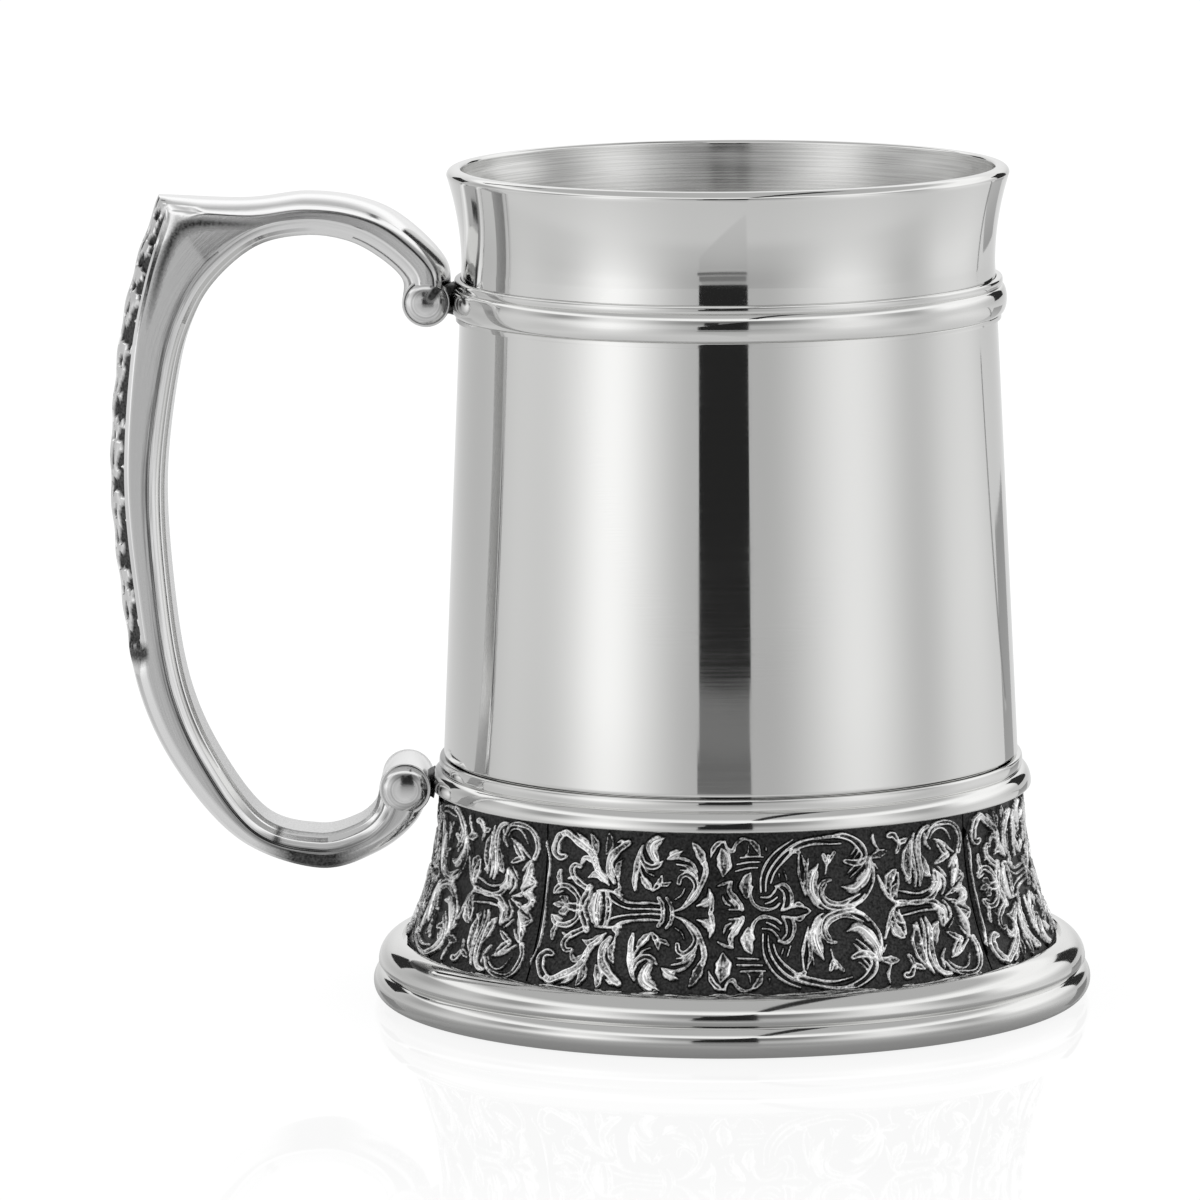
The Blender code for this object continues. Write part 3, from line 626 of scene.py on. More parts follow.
def bent_panel(form, relief):
    """Embosses the flat panel and bends it to the bell of the frieze; keeps the height for the finish."""
    panel = finished("acanthus_panel_1", form)
    spots = np.empty(len(panel.data.vertices) * 3)
    panel.data.vertices.foreach_get("co", spots)
    across, up, behind = spots.reshape(-1, 3).T
    face = behind > -0.5
    height = sampled(relief, (1 - up) * panel_rows - 0.5, across * panel_columns - 0.5)
    height = np.where(face, height, 0.0)
    tall = frieze_top_z - frieze_bottom_z
    slope = frieze_flare * frieze_curve * (1 - up) ** (frieze_curve - 1) / tall
    lift = np.where(face, height * relief_height - ground_depth, -panel_thickness) / np.sqrt(1 + slope ** 2)
    radius = frieze_top_radius + frieze_flare * (1 - up) ** frieze_curve + lift
    inside_edge = (up > 1e-6) & (up < 1 - 1e-6)
    level = frieze_bottom_z + up * tall + np.where(inside_edge, lift * slope, 0.0)
    turn = panel_seam_turn + seam_turn / 2 + across * (panel_pitch - seam_turn)
    bent = np.stack((radius * np.cos(turn), radius * np.sin(turn), level), axis=1)
    panel.data.vertices.foreach_set("co", bent.ravel())
    panel.data.attributes.new("relief", "FLOAT", "POINT").data.foreach_set("value", height)
    panel.data.update()
    return panel


def rubbed_pewter(name, dark, pale, start, end, smooth, rough, grain, pits, uneven):
    """Pewter blackened in the hollows and rubbed bright, unevenly, on the high places of the relief, which is
    an attribute. Returns the material, its node tree, its shader and its bump."""
    mottle_scale, rubbing_scale, pit_depth = 2600.0, 260.0, 0.00002
    material, tree, shader = metal(name, (pale, pale, pale), smooth)
    height = wired(tree, "Attribute", attribute_name="relief").outputs["Fac"]
    place = wired(tree, "TexCoord").outputs["Object"]
    mottle = wired(tree, "TexNoise", {"Vector": place, "Scale": mottle_scale, "Detail": 5.0})
    rubbing = wired(tree, "TexNoise", {"Vector": place, "Scale": rubbing_scale, "Detail": 3.0})
    speckled = wired(tree, "Math", {0: height, 1: spread(tree, mottle, -grain, grain)}, operation="ADD")
    # On the handle the relief attribute also holds painted shade and painted dark reflections.
    wear_and_shade = wired(tree, "Math", {0: speckled, 1: spread(tree, rubbing, -uneven, uneven)}, operation="ADD")
    bright = spread(tree, wear_and_shade, 0.0, 1.0, start, end)
    colour = wired(tree, "Mix", {
        "Factor": bright, "A": spread(tree, mottle, 0.35 * dark, 1.6 * dark), "B": (pale, pale, pale, 1.0)},
        data_type="RGBA")
    tree.links.new(colour.outputs["Result"], shader.inputs["Base Color"])
    tree.links.new(spread(tree, bright, rough, smooth, 0.0, 1.0), shader.inputs["Roughness"])
    pitting = spread(tree, bright, 1.0, pits, 0.0, 0.5)
    pitted = wired(tree, "Math", {0: mottle, 1: pitting}, operation="MULTIPLY")
    bump = wired(tree, "Bump", {"Distance": pit_depth, "Height": pitted})
    tree.links.new(bump.outputs["Normal"], shader.inputs["Normal"])
    return material, tree, shader, bump


antiqued = rubbed_pewter("antiqued_pewter", oxide_black, rubbed_bright, start=0.36, end=0.76, smooth=0.10,
                         rough=0.42, grain=0.17, pits=0.9, uneven=0.20)[0]
first_panel = bent_panel(panel_sheet(), panel_relief())
panels = [first_panel]
for index in range(1, panel_count):
    mesh = first_panel.data.copy()
    mesh.transform(Matrix.Rotation(index * panel_pitch, 4, "Z"))
    panels.append(bpy.data.objects.new(f"acanthus_panel_{index + 1}", mesh))
    bpy.context.scene.collection.objects.link(panels[-1])
for index, panel in enumerate(panels):
    dress(panel, antiqued, f"frieze_panel_{index + 1}")

# Foot ring: a turned foot of two rolls, with a narrow groove between them. The frieze stands in its rebate
# and its lower roll carries the tankard on the table.
foot_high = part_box("foot_ring")[1]
seat_depth = 0.0008
upper_roll_width = 0.0036
upper_roll_height = 0.0037
lower_roll_projection = 0.0008
lower_roll_height = 0.0050
foot_edge = 0.0014
foot_bore_wall = 0.0036
foot_seat_z = foot_high.z - seat_depth
lower_roll_radius = foot_high.x
upper_roll_radius = lower_roll_radius - lower_roll_projection
seat_radius = upper_roll_radius - upper_roll_width
foot_bore = seat_radius - solder_gap - foot_bore_wall
foot_core = upper_roll_radius - foot_edge
plate_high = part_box("base_plate")[1]
rebate_radius = plate_high.x + solder_gap
rebate_z = plate_high.z + solder_gap
foot_profile = [(foot_bore, foot_seat_z), (seat_radius, foot_seat_z)]
foot_profile += arc((seat_radius, foot_high.z - upper_roll_height),
                    (upper_roll_width, upper_roll_height), 90, 0, 20)
foot_profile += arc((foot_core, lower_roll_height / 2),
                    (lower_roll_radius - foot_core, lower_roll_height / 2), 65, -90, 26)
foot_profile += [(rebate_radius, 0.0), (rebate_radius, rebate_z), (foot_bore, rebate_z)]
foot_ring = turned("foot_moulding", foot_profile)
foot_finish = turned_pewter("foot_polish", (0.74, 0.74, 0.73), smooth=0.05, rough=0.09, pitch=4200.0,
                            depth=0.0000005)[0]
dress(foot_ring, foot_finish, "foot_ring")

# Base plate: a thin pewter disc that closes the foot from below. It is faced on the lathe, left satin, and
# soldered into a rebate so that it is flush with the foot.
plate_bevel = 0.0003
plate_edge = plate_high.x - plate_bevel
plate_profile = [(0.0, plate_high.z), (plate_high.x, plate_high.z), (plate_high.x, plate_bevel)]
plate_profile += [(plate_edge, 0.0)] + [(r, 0.0) for r in np.linspace(plate_edge, 0.0, 12)[1:]]
base_plate = turned("base_plate_disc", plate_profile, disc_steps)
plate_satin = turned_pewter("plate_satin", faced, smooth=0.24, rough=0.40, pitch=2800.0, depth=0.000003)[0]
dress(base_plate, plate_satin, "base_plate")

# Handle: one pewter casting, an arm with flat cheeks and moulded inner edges between two scroll ends. Its
# back is crowned and carved with blackened leaves below the thumb rest. Two lugs solder it to the bead and
# the collar.
finger_room = 0.0382
handle_width = 0.0148
handle_taper = 0.0012
grip_thickness = 0.0084
crown_height = 0.0022
shoulder_height = 0.0009
shoulder_width = 0.00035
crease_width = 0.00025
crease_depth = 0.00016
carved_shoulder = 0.0006
carved_shoulder_width = 0.0006
carved_crown = 0.0024
cheek_round = 0.07
cheek_reach = 0.0005
cheek_lean = 0.07
corner_reach = 0.0007
corner_length = 0.0075
facet_over = 0.0060
facet_down = 0.0075
facet_depth = 0.0014
facet_bend = 0.75
facet_soft = 0.30
bevel_depth = 0.0022
bevel_width = 0.0024
bevel_lip = 0.0004
bevel_bands = ((0.30, 0.22), (0.34, 0.30), (0.68, 0.58), (0.71, 0.66))
lip_foot = 0.00012
lip_top = 0.00010
cheek_rows = 28
cheek_crowding = 1.4
cheek_top = 0.97
lug_width = 0.0080
upper_lug_height = 0.0054
lower_lug_height = 0.0040
lug_waist = 0.25
lug_round = 0.12
# How light the lugs stay: dark from solder oxide and from painted shade of the gap.
lug_oxide_and_shade = 0.28
upper_scroll_radius = 0.0036
lower_scroll_radius = 0.0039
scroll_width = 0.0140
scroll_steps = 96
button_rise = 0.0009
button_rim = 0.0005
button_groove = 0.00008
scroll_round = 0.00018
# A painted shade line across the upper scroll's button where its crease runs: its way, width, darkness and
# start.
button_crease_way = Vector((0.62, 0.78))
button_crease_width = 0.00070
button_crease_shade = 0.72
button_crease_start = 0.4
saddle_depth = 0.0005
span_steps = 22
thumb_station = 6
# Side view from the upper scroll to the lower: place on the finger side (share of the finger room, share of
# the rise between the scrolls), thickness (share of the grip's), and way to the outside (degrees from +X).
handle_stations = (
    (0.095, 1.048, 0.82, 20), (0.196, 1.096, 0.79, 51), (0.318, 1.127, 0.76, 68), (0.475, 1.137, 0.74, 88),
    (0.658, 1.117, 0.84, 107), (0.815, 1.053, 1.79, 127), (0.912, 0.974, 1.36, 142),
    (0.970, 0.858, 1.14, 161), (1.002, 0.638, 1.00, 177), (0.961, 0.414, 0.93, 184),
    (0.884, 0.216, 0.90, 195), (0.753, 0.068, 0.81, 210), (0.562, -0.062, 0.66, 228),
    (0.351, -0.094, 0.71, 270), (0.207, -0.078, 0.69, 303), (0.128, -0.046, 0.80, 338),
)
seat_reach = solder_gap - saddle_depth
upper_scroll = Vector((-(bead_crest + seat_reach + upper_scroll_radius), (bead_top_z + bead_bottom_z) / 2))
lower_scroll = Vector((-(collar_high.x + seat_reach + lower_scroll_radius), collar_crest_z))

# Carved back, on the same kind of sheet: along the back from the thumb corner, and out from its middle line.
# The strokes are hollows between the leaves: width, start and end.
carving_length = 0.0705
carving_early = 0.0012
carving_rise = 0.0024
carving_late = 0.004
carving_fade = 0.006
carving_columns, carving_column = 1400, 2.52
carving_rows, carving_row = 132, 2.5
leaf_pitch = 388
leaf_count = 9
leaf_hollows = (
    (40, (0, 290), (140, 190)), (26, (120, 318), (206, 276)), (20, (170, 232), (200, 214)),
    (40, (214, 250), (320, 150)), (26, (40, 150), (150, 90)), (24, (286, 318), (366, 284)),
    (18, (334, 232), (358, 216)), (26, (236, 110), (350, 60)),
)


def carving():
    """Depth of the carved hollows over the back: rows run out from the middle line, columns along it. Each
    hollow sways and swells a little from leaf to leaf, as carved by hand."""
    along = (np.arange(carving_columns) + 0.5) * carving_column
    out = (np.arange(carving_rows) + 0.5) * carving_row - carving_row
    field = np.zeros((out.size, along.size))
    for leaf in range(leaf_count):
        for width, start, end in leaf_hollows:
            sway = 30.0 * math.sin(2.1 * leaf + 0.05 * start[1])
            sway += 16.0 * math.sin(5.3 * leaf + 0.02 * end[0])
            root = (start[0] + leaf * leaf_pitch + sway, start[1] + 0.6 * sway)
            tip = (end[0] + leaf * leaf_pitch - 0.7 * sway, end[1] + 0.5 * sway)
            bend = ((root[0] + tip[0]) / 2, (root[1] + tip[1]) / 2 + 22)
            broad = width * (1.9 + 0.6 * math.sin(1.9 * leaf + 0.07 * end[1]))
            brush(field, along, out, "hollow", (0.6 * broad, 1.2 * broad, 15), (root, bend, tip))
    return field


carved_hollows = carving()
hollow_depth = 0.0009
leaf_lift = 0.00012

# Darker places on the arm: how dark each is, where it lies and how far it reaches. The finger face has
# patina;
# beside the seam below the thumb rest, in a fold round the thumb corner and under the lower bend are painted
# dark reflections; the row along the back's crease and the cheek where the carving ends are darker.
seam_painted_reflection = 0.50
seam_cheek = 0.93
seam_top = 0.35
seam_middle = 0.010
seam_reach = 0.009
crease_darkening = 0.42
bend_painted_reflection = 0.62
bend_x = -0.0630
bend_reach = 0.0065
bend_edge = 0.0010
bend_soft = 1.6
bend_cheek = 0.3
fold_painted_reflection = 0.50
fold_inset = 0.0012
fold_width = 0.00055
fold_reach = 0.0160
notch_darkening = 0.55
notch_length = 0.0016
notch_cheek = 0.699
notch_fade = 0.3
finger_patina = 0.20
finger_edge = 0.1


def hollow_at(along, out):
    """Depth of the carving, 0 to 1, at places on the back; both in metres."""
    column = along / sheet_unit / carving_column
    row = np.abs(out) / sheet_unit / carving_row + 1.0
    rows, columns = carved_hollows.shape
    carved = (column >= 0) & (column < columns - 1) & (row < rows - 1)
    return np.where(carved, sampled(carved_hollows, row, column), 0.0)


def handle_sides():
    """Finger side and outside of the arm in side view, as matching arrays of points (x, z)."""
    finger = [upper_scroll - Vector((upper_scroll_radius, 0.0))]
    outside = [upper_scroll + Vector((upper_scroll_radius, 0.0))]
    for room, rise, thickness, turn in handle_stations:
        seat_x = lower_scroll.x + (upper_scroll.x - lower_scroll.x) * min(max(rise, 0.0), 1.0)
        seat_z = lower_scroll.y + rise * (upper_scroll.y - lower_scroll.y)
        point = Vector((seat_x - room * finger_room, seat_z))
        way = Vector((math.cos(math.radians(turn)), math.sin(math.radians(turn))))
        finger.append(point)
        outside.append(point + way * thickness * grip_thickness)
    finger.append(lower_scroll - Vector((lower_scroll_radius, 0.0)))
    outside.append(lower_scroll + Vector((lower_scroll_radius, 0.0)))
    over = smooth_line(outside[:thumb_station + 1], span_steps)
    down = smooth_line(outside[thumb_station:], span_steps)
    return smooth_line(finger, span_steps), np.vstack((over[:-1], down))


def half_section(shoulder, width, rise):
    """Right half of the arm's section, from the middle of the finger side to the middle of the back: rows of
    (out, share of the cheek, height). Flat inner face, a moulded edge of two bands, a cheek that rounds over
    towards the back, a shoulder with a crease, and a crown."""
    half = handle_width / 2
    face = half - bevel_width
    rows = [(w, 0.0, 0.0) for w in np.linspace(0.0, face, 5)]
    rows += [(face + outwards * bevel_width, 0.0, up * bevel_depth) for outwards, up in bevel_bands]
    rows += [(half - lip_foot, 0.0, bevel_depth), (half - lip_top, 0.0, bevel_depth + 0.4 * bevel_lip)]
    for share in cheek_top * (1 - np.linspace(1.0, 0.0, cheek_rows) ** cheek_crowding):
        rows.append((half, share, (1 - share) * (bevel_depth + bevel_lip)))
    start, bend = math.radians(30), math.radians(45)
    for turn in np.linspace(start, bend, 11):
        inward = (math.cos(start) - math.cos(turn)) / (math.cos(start) - math.cos(bend))
        upward = (math.sin(turn) - math.sin(start)) / (math.sin(bend) - math.sin(start))
        rows.append((half - width * inward, 1.0, shoulder * upward))
    crease = half - width
    rows.append((crease - crease_width / 2, 1.0, shoulder - crease_depth))
    for w in np.linspace(crease - crease_width, 0.0, 27):
        rows.append((w, 1.0, shoulder + rise * (1 - (w / crease) ** 2)))
    return np.array(rows)


def distance_to_line(places, line):
    """Distance of each place, in a grid of places, from a bent line."""
    near = np.full(places.shape[:2], 1.0)
    for start, end in zip(line, line[1:]):
        step = end - start
        part = np.clip((places - start) @ step / (step @ step), 0.0, 1.0)
        near = np.minimum(near, np.linalg.norm(places - start - part[:, :, None] * step, axis=2))
    return near


def arm_wear_and_shade(section, run, places, nears, grip, cut):
    """How bright the arm is, 1 where it is bare and rubbed: dark in the carving and the finger face's patina,
    in painted dark reflections, and along the crease and where the carving ends.
    """
    share, top = section[:, 1], section[:, 2]
    wear_and_shade = 1.0 - cut
    # A painted dark reflection along the cheek's top edge below the thumb rest.
    seam_reflection = (share > seam_cheek) & (top < seam_top * shoulder_height)
    wear_and_shade = wear_and_shade - seam_painted_reflection * seam_reflection * grip * np.exp(-((run - seam_middle) / seam_reach) ** 2)[:, None]
    wear_and_shade = wear_and_shade - finger_patina * ((share == 0.0) & (top < finger_edge * bevel_depth))
    # The row along the back's crease is darker.
    crease_out = handle_width / 2 - shoulder_width - crease_width / 2
    crease = np.argmin(np.abs(section[:, 0] - crease_out) + (share < 1.0))
    wear_and_shade = wear_and_shade - crease_darkening * (np.arange(share.size) == crease)
    # A painted dark reflection on the underside of the lower bend.
    bend = np.exp(-((places[:, :, 0] - bend_x) / bend_reach) ** 2) * (run > carving_length)[:, None]
    bend = bend * np.clip(bend_soft - nears[1] / bend_edge, 0.0, 1.0) * (share > bend_cheek)
    # A painted dark reflection in a fold round the thumb corner, inset from both edges.
    inset = 1.0 / (1.0 / (nears[0] + 1e-6) + 1.0 / (nears[1] + 1e-6))
    fold_reflection = np.exp(-((inset - fold_inset) / fold_width) ** 2 - (np.hypot(*nears) / fold_reach) ** 4)
    # Darker across the cheek where the carving ends.
    notch = np.exp(-((run - carving_length) / notch_length) ** 2)[:, None]
    notch = notch * np.clip((share - notch_cheek) / notch_fade, 0.0, 1.0)
    return wear_and_shade - bend_painted_reflection * bend - fold_painted_reflection * fold_reflection * (share > 0.0) - notch_darkening * notch


def handle_arm():
    """The bent arm as a sheet wrapped round its sections, with the carving cut into the back."""
    finger, outside = handle_sides()
    corner = thumb_station * span_steps
    run = np.concatenate(((0.0,), np.cumsum(np.hypot(*np.diff(outside, axis=0).T))))
    run -= run[corner]
    depth = np.hypot(*(outside - finger).T)[:, None]
    way = (outside - finger) / depth
    plain = half_section(shoulder_height, shoulder_width, crown_height - shoulder_height)
    carved = half_section(carved_shoulder, carved_shoulder_width, carved_crown)
    grip = np.clip((run + carving_early) / carving_rise, 0.0, 1.0)
    grip = grip * np.clip((carving_length + carving_late - run) / carving_fade, 0.0, 1.0)
    grip = (grip * grip * (3 - 2 * grip))[:, None]
    share = plain[:, 1]
    back = share == 1.0
    edge = depth - (crown_height + (carved_shoulder + carved_crown - crown_height) * grip)
    height = share * edge + plain[:, 2] + (carved[:, 2] - plain[:, 2]) * grip
    places = finger[:, None] + way[:, None] * height[:, :, None]
    edges = finger + way * edge
    nears = [distance_to_line(places, side) for side in (edges[:corner + 1], edges[corner:])]
    nears = [np.where(back, near[:, back][:, :1], near) for near in nears]
    facet = 1 - (nears[1] / facet_over) ** facet_bend - (nears[0] / facet_down) ** facet_bend
    facet = np.clip(facet, 0.0, 1.0)
    drawn_in = facet_depth * facet * np.clip(facet / facet_soft, 0.0, 1.0)
    drawn_in = drawn_in + cheek_lean * nears[0] * np.clip(run / run[0], 0.0, 1.0)[:, None]
    reach = cheek_reach + corner_reach * np.exp(-(run / corner_length) ** 2)[:, None]
    for near in nears:
        drawn_in = drawn_in + cheek_round * reach * np.clip(1 - near / reach, 0.0, 1.0) ** 3
    out = plain[:, 0] + (carved[:, 0] - plain[:, 0]) * grip
    slimmer = handle_taper * np.clip((upper_scroll.x - places[:, :, 0]) / finger_room, 0.0, 1.2)
    out = out * (1 - (drawn_in * (share > 0.0) + slimmer) / (handle_width / 2))
    hollow = back & (np.arange(share.size) > np.argmax(plain[:, 2] * back >= shoulder_height))
    cut = np.where(hollow, hollow_at(np.broadcast_to(run[:, None], out.shape), out), 0.0) * grip
    swelling = leaf_lift * np.sin(math.tau * run / (leaf_pitch * sheet_unit) + 0.6)[:, None] * grip
    height = height + hollow * swelling * (1 - (out / (handle_width / 2)) ** 2) - cut * hollow_depth
    wear_and_shade = arm_wear_and_shade(plain, run, places, nears, grip, cut)
    out = np.hstack((out, -out[:, -2:0:-1], out[:, :1]))
    height = np.hstack((height, height[:, -2:0:-1], height[:, :1]))
    wear_and_shade = np.hstack((wear_and_shade, wear_and_shade[:, -2:0:-1], wear_and_shade[:, :1]))
    sections, points = height.shape
    spots = np.stack((finger[:, :1] + way[:, :1] * height, out, finger[:, 1:] + way[:, 1:] * height), axis=-1)
    form = bmesh.new()
    relief = form.verts.layers.float.new("relief")
    lengthwise = form.verts.layers.float.new("lengthwise")
    crosswise = form.verts.layers.float.new("crosswise")
    bmesh.ops.create_grid(form, x_segments=sections - 1, y_segments=points - 1, size=0.5)
    for vertex in form.verts:
        i = round((vertex.co.x + 0.5) * (sections - 1))
        j = round((vertex.co.y + 0.5) * (points - 1))
        vertex.co = spots[i, j]
        vertex[relief] = wear_and_shade[i, j]
        vertex[lengthwise] = run[i]
        vertex[crosswise] = height[i, j]
    bmesh.ops.remove_doubles(form, verts=form.verts, dist=1e-7)
    bmesh.ops.holes_fill(form, edges=[e for e in form.edges if e.is_boundary])
    return form


def join(form, other):
    """Adds one bmesh to another."""
    mesh = bpy.data.meshes.new("joined")
    other.to_mesh(mesh)
    other.free()
    form.from_mesh(mesh)
    bpy.data.meshes.remove(mesh)


def add_lug(form, height, ring_radius, place):
    """Adds the short lug from a scroll to its ring: a waisted block, left dark from the soldering and with
    painted shade of the gap between scroll and ring.
    """
    block = bmesh.new()
    bmesh.ops.create_cube(block, size=1.0)
    ends = [e for e in block.edges if abs(e.verts[0].co.x - e.verts[1].co.x) > 0.5]
    bmesh.ops.subdivide_edges(block, edges=ends, cuts=9)
    rounded = [e for e in block.edges if abs(e.verts[0].co.x - e.verts[1].co.x) > 0.01]
    bmesh.ops.bevel(block, geom=rounded, offset=lug_round, segments=3, profile=0.5, affect="EDGES",
                    material=-1)
    relief = block.verts.layers.float.new("relief")
    for vertex in block.verts:
        pinch = 1.0 - lug_waist * (1.0 - (2.0 * vertex.co.x) ** 2)
        middle = (place.x - ring_radius) / 2
        vertex.co = (middle + vertex.co.x * (-ring_radius - place.x), vertex.co.y * lug_width * pinch,
                     place.y + vertex.co.z * height * pinch)
        vertex[relief] = lug_oxide_and_shade
    join(form, block)


def add_scroll(form, radius, place, crease_shade):
    """Adds a scroll end across the arm: a short roll with a thin rim and a domed button on each side, and
    a painted shade line where a crease runs across the button."""
    half = scroll_width / 2
    button = radius - button_rim
    side = arc((0.0, half), (button, button_rise), 90, 4, 14)
    side += [(button, half - button_groove), (button + button_groove, half - button_groove)]
    side += arc((radius - scroll_round, half - button_groove - scroll_round),
                (scroll_round, scroll_round), 80, 0, 4)
    profile = side + [(r, -z) for r, z in reversed(side)]
    roll = spun(profile, scroll_steps, closed=False)
    relief = roll.verts.layers.float.new("relief")
    crosswise = roll.verts.layers.float.new("crosswise")
    for vertex in roll.verts:
        along = vertex.co.xy.dot(button_crease_way) / button / button_crease_start
        beside = vertex.co.xy.cross(button_crease_way) / button_crease_width
        vertex[relief] = 1.0 - crease_shade * min(max(along, 0.0), 1.0) * math.exp(-beside ** 2)
        vertex[crosswise] = vertex.co.xy.length
    bmesh.ops.rotate(roll, verts=roll.verts, cent=(0.0, 0.0, 0.0),
                     matrix=Matrix.Rotation(math.radians(90), 3, "X"))
    bmesh.ops.translate(roll, verts=roll.verts, vec=(place.x, 0.0, place.y))
    join(form, roll)


def handle_polish():
    """The handle's finish: bright pewter with lengthwise polishing lines and blackened hollows in the
    carving; its relief attribute also carries painted shade and painted dark reflections. The lines are
    darker in a band beside the moulded inner edge, below the thumb rest."""
    scratch_depth = 0.000005
    across_lines, along_lines = (0.0, 9.0, 0.0, 0.003), (0.0, 3.0, 0.0, 0.05)
    band_start, band_end, thumb_fade = (0.0014, 0.0021), (0.0029, 0.0036), (-0.015, 0.010)
    material, tree, shader, bump = rubbed_pewter(
        "handle_pewter", 2 * oxide_black, 0.84, start=0.50, end=0.92, smooth=0.11, rough=0.50, grain=0.03,
        pits=0.0, uneven=0.0)
    lengthwise = wired(tree, "Attribute", attribute_name="lengthwise").outputs["Fac"]
    crosswise = wired(tree, "Attribute", attribute_name="crosswise").outputs["Fac"]
    grain = wired(tree, "CombineXYZ", {
        "X": spread(tree, crosswise, *across_lines, clamp=False),
        "Y": spread(tree, lengthwise, *along_lines, clamp=False)})
    lines = wired(tree, "TexNoise", {"Vector": grain, "Scale": 1.0, "Detail": 6.0, "Roughness": 0.65})
    scratched = wired(tree, "Bump", {"Distance": scratch_depth, "Height": lines})
    tree.links.new(scratched.outputs["Normal"], bump.inputs["Normal"])
    beside_edge = wired(tree, "Math", {
        0: spread(tree, crosswise, 0.0, 1.0, *band_start),
        1: spread(tree, crosswise, 1.0, 0.0, *band_end)}, operation="MULTIPLY")
    below_thumb = spread(tree, lengthwise, 0.15, 1.0, *thumb_fade)
    streaked = wired(tree, "Mix", {
        "Factor": wired(tree, "Math", {0: beside_edge, 1: below_thumb}, operation="MULTIPLY"),
        "A": shader.inputs["Base Color"].links[0].from_socket,
        "B": spread(tree, lines, 0.40, 0.92, 0.40, 0.60)}, data_type="RGBA", blend_type="MULTIPLY")
    tree.links.new(streaked.outputs["Result"], shader.inputs["Base Color"])
    return material


handle_form = handle_arm()
add_scroll(handle_form, upper_scroll_radius, upper_scroll, button_crease_shade)
add_scroll(handle_form, lower_scroll_radius, lower_scroll, 0.0)
add_lug(handle_form, upper_lug_height, bead_crest - bead_projection, upper_scroll)
add_lug(handle_form, lower_lug_height, collar_high.x - saddle_depth, lower_scroll)
bmesh.ops.recalc_face_normals(handle_form, faces=handle_form.faces)
handle = finished("scroll_handle", handle_form, sharp=math.radians(24))
dress(handle, handle_polish(), "handle")

# Studio: a glossy white table in a soft white tent. The camera looks in through a dark opening above a low
# sill, and a few dark gaps between the tent's sheets show in the polished metal.
camera_distance = 1.2906244
camera_height = 0.2500369
camera_pitch = 0.1461
camera_turn = 0.0152
camera_roll = -0.0074
focal_pixels = 8638.0
image_pixels = 1200.0
sensor_width = 36.0
right = Vector((math.cos(camera_turn), math.sin(camera_turn), 0.0))
ahead = Vector((-math.sin(camera_turn), math.cos(camera_turn), 0.0))
look = ahead * math.cos(camera_pitch) - Vector((0.0, 0.0, math.sin(camera_pitch)))
upward = ahead * math.sin(camera_pitch) + Vector((0.0, 0.0, math.cos(camera_pitch)))
camera_x = right * math.cos(camera_roll) + upward * math.sin(camera_roll)
camera_y = upward * math.cos(camera_roll) - right * math.sin(camera_roll)
view = bpy.data.cameras.new("view")
view.sensor_width = sensor_width
view.lens = focal_pixels / image_pixels * sensor_width
view.clip_end = 50.0
camera = bpy.data.objects.new("view", view)
bpy.context.scene.collection.objects.link(camera)
camera.matrix_world = Matrix.Translation((0.0, -camera_distance, camera_height)) @ Matrix(
    (camera_x, camera_y, -look)).transposed().to_4x4()
bpy.context.scene.camera = camera
bpy.context.scene.view_settings.view_transform = "Standard"

wall_lights = (
    (-180, 0.92), (-160, 0.68), (-140, 0.56), (-118, 0.62), (-100, 0.82), (-82, 0.74), (-66, 0.94),
    (-51, 1.34), (-36, 1.00), (-18, 0.50), (0, 0.60), (18, 0.48), (36, 0.84), (53, 1.06), (69, 0.84),
    (84, 0.58), (100, 0.78), (120, 0.88), (136, 0.64), (158, 0.60), (180, 0.92),
)
upper_lights = (
    (-180, 0.95), (-145, 0.80), (-120, 0.28), (-99, 0.84), (-80, 0.34), (-67, 0.42), (-53, 1.20),
    (-36, 0.78), (-22, 0.36), (-10, 0.30), (0, 0.18), (10, 0.22), (22, 0.28), (36, 0.62), (50, 1.20),
    (65, 0.74), (80, 0.36), (92, 0.62), (106, 1.40), (150, 0.90), (180, 0.95),
)
brightest_wall = 2.0
seen_white = 1.05
upper_walls_from = (0.05, 0.22)
ceiling_from = (0.36, 0.46)
ceiling_middle_from = (0.56, 0.70)
ceiling_edge, ceiling_middle = 1.15, 0.55


def wall_group(name, lights):
    """How bright the tent's wall is in the direction (X, Y), from lights counted round from the camera."""
    group, given, out = node_group(name, {"X": 0.0, "Y": -1.0}, ["Level"])
    towards = wired(group, "Math", {0: given.outputs["Y"], 1: -1.0}, operation="MULTIPLY")
    azimuth = wired(group, "Math", {0: given.outputs["X"], 1: towards}, operation="ARCTAN2")
    walls = wired(group, "ValToRGB", {"Fac": spread(group, azimuth, 0.0, 1.0, -math.pi, math.pi)})
    walls.color_ramp.interpolation = "B_SPLINE"
    stops = walls.color_ramp.elements
    while len(stops) < len(lights):
        stops.new(0.5)
    for stop, (degrees, strength) in zip(stops, lights):
        stop.position = (degrees + 180.0) / 360.0
        share = strength / brightest_wall
        stop.color = (share, share, share, 1.0)
    level = wired(group, "Math", {0: walls, 1: brightest_wall}, operation="MULTIPLY")
    group.links.new(level.outputs[0], out.inputs["Level"])
    return group


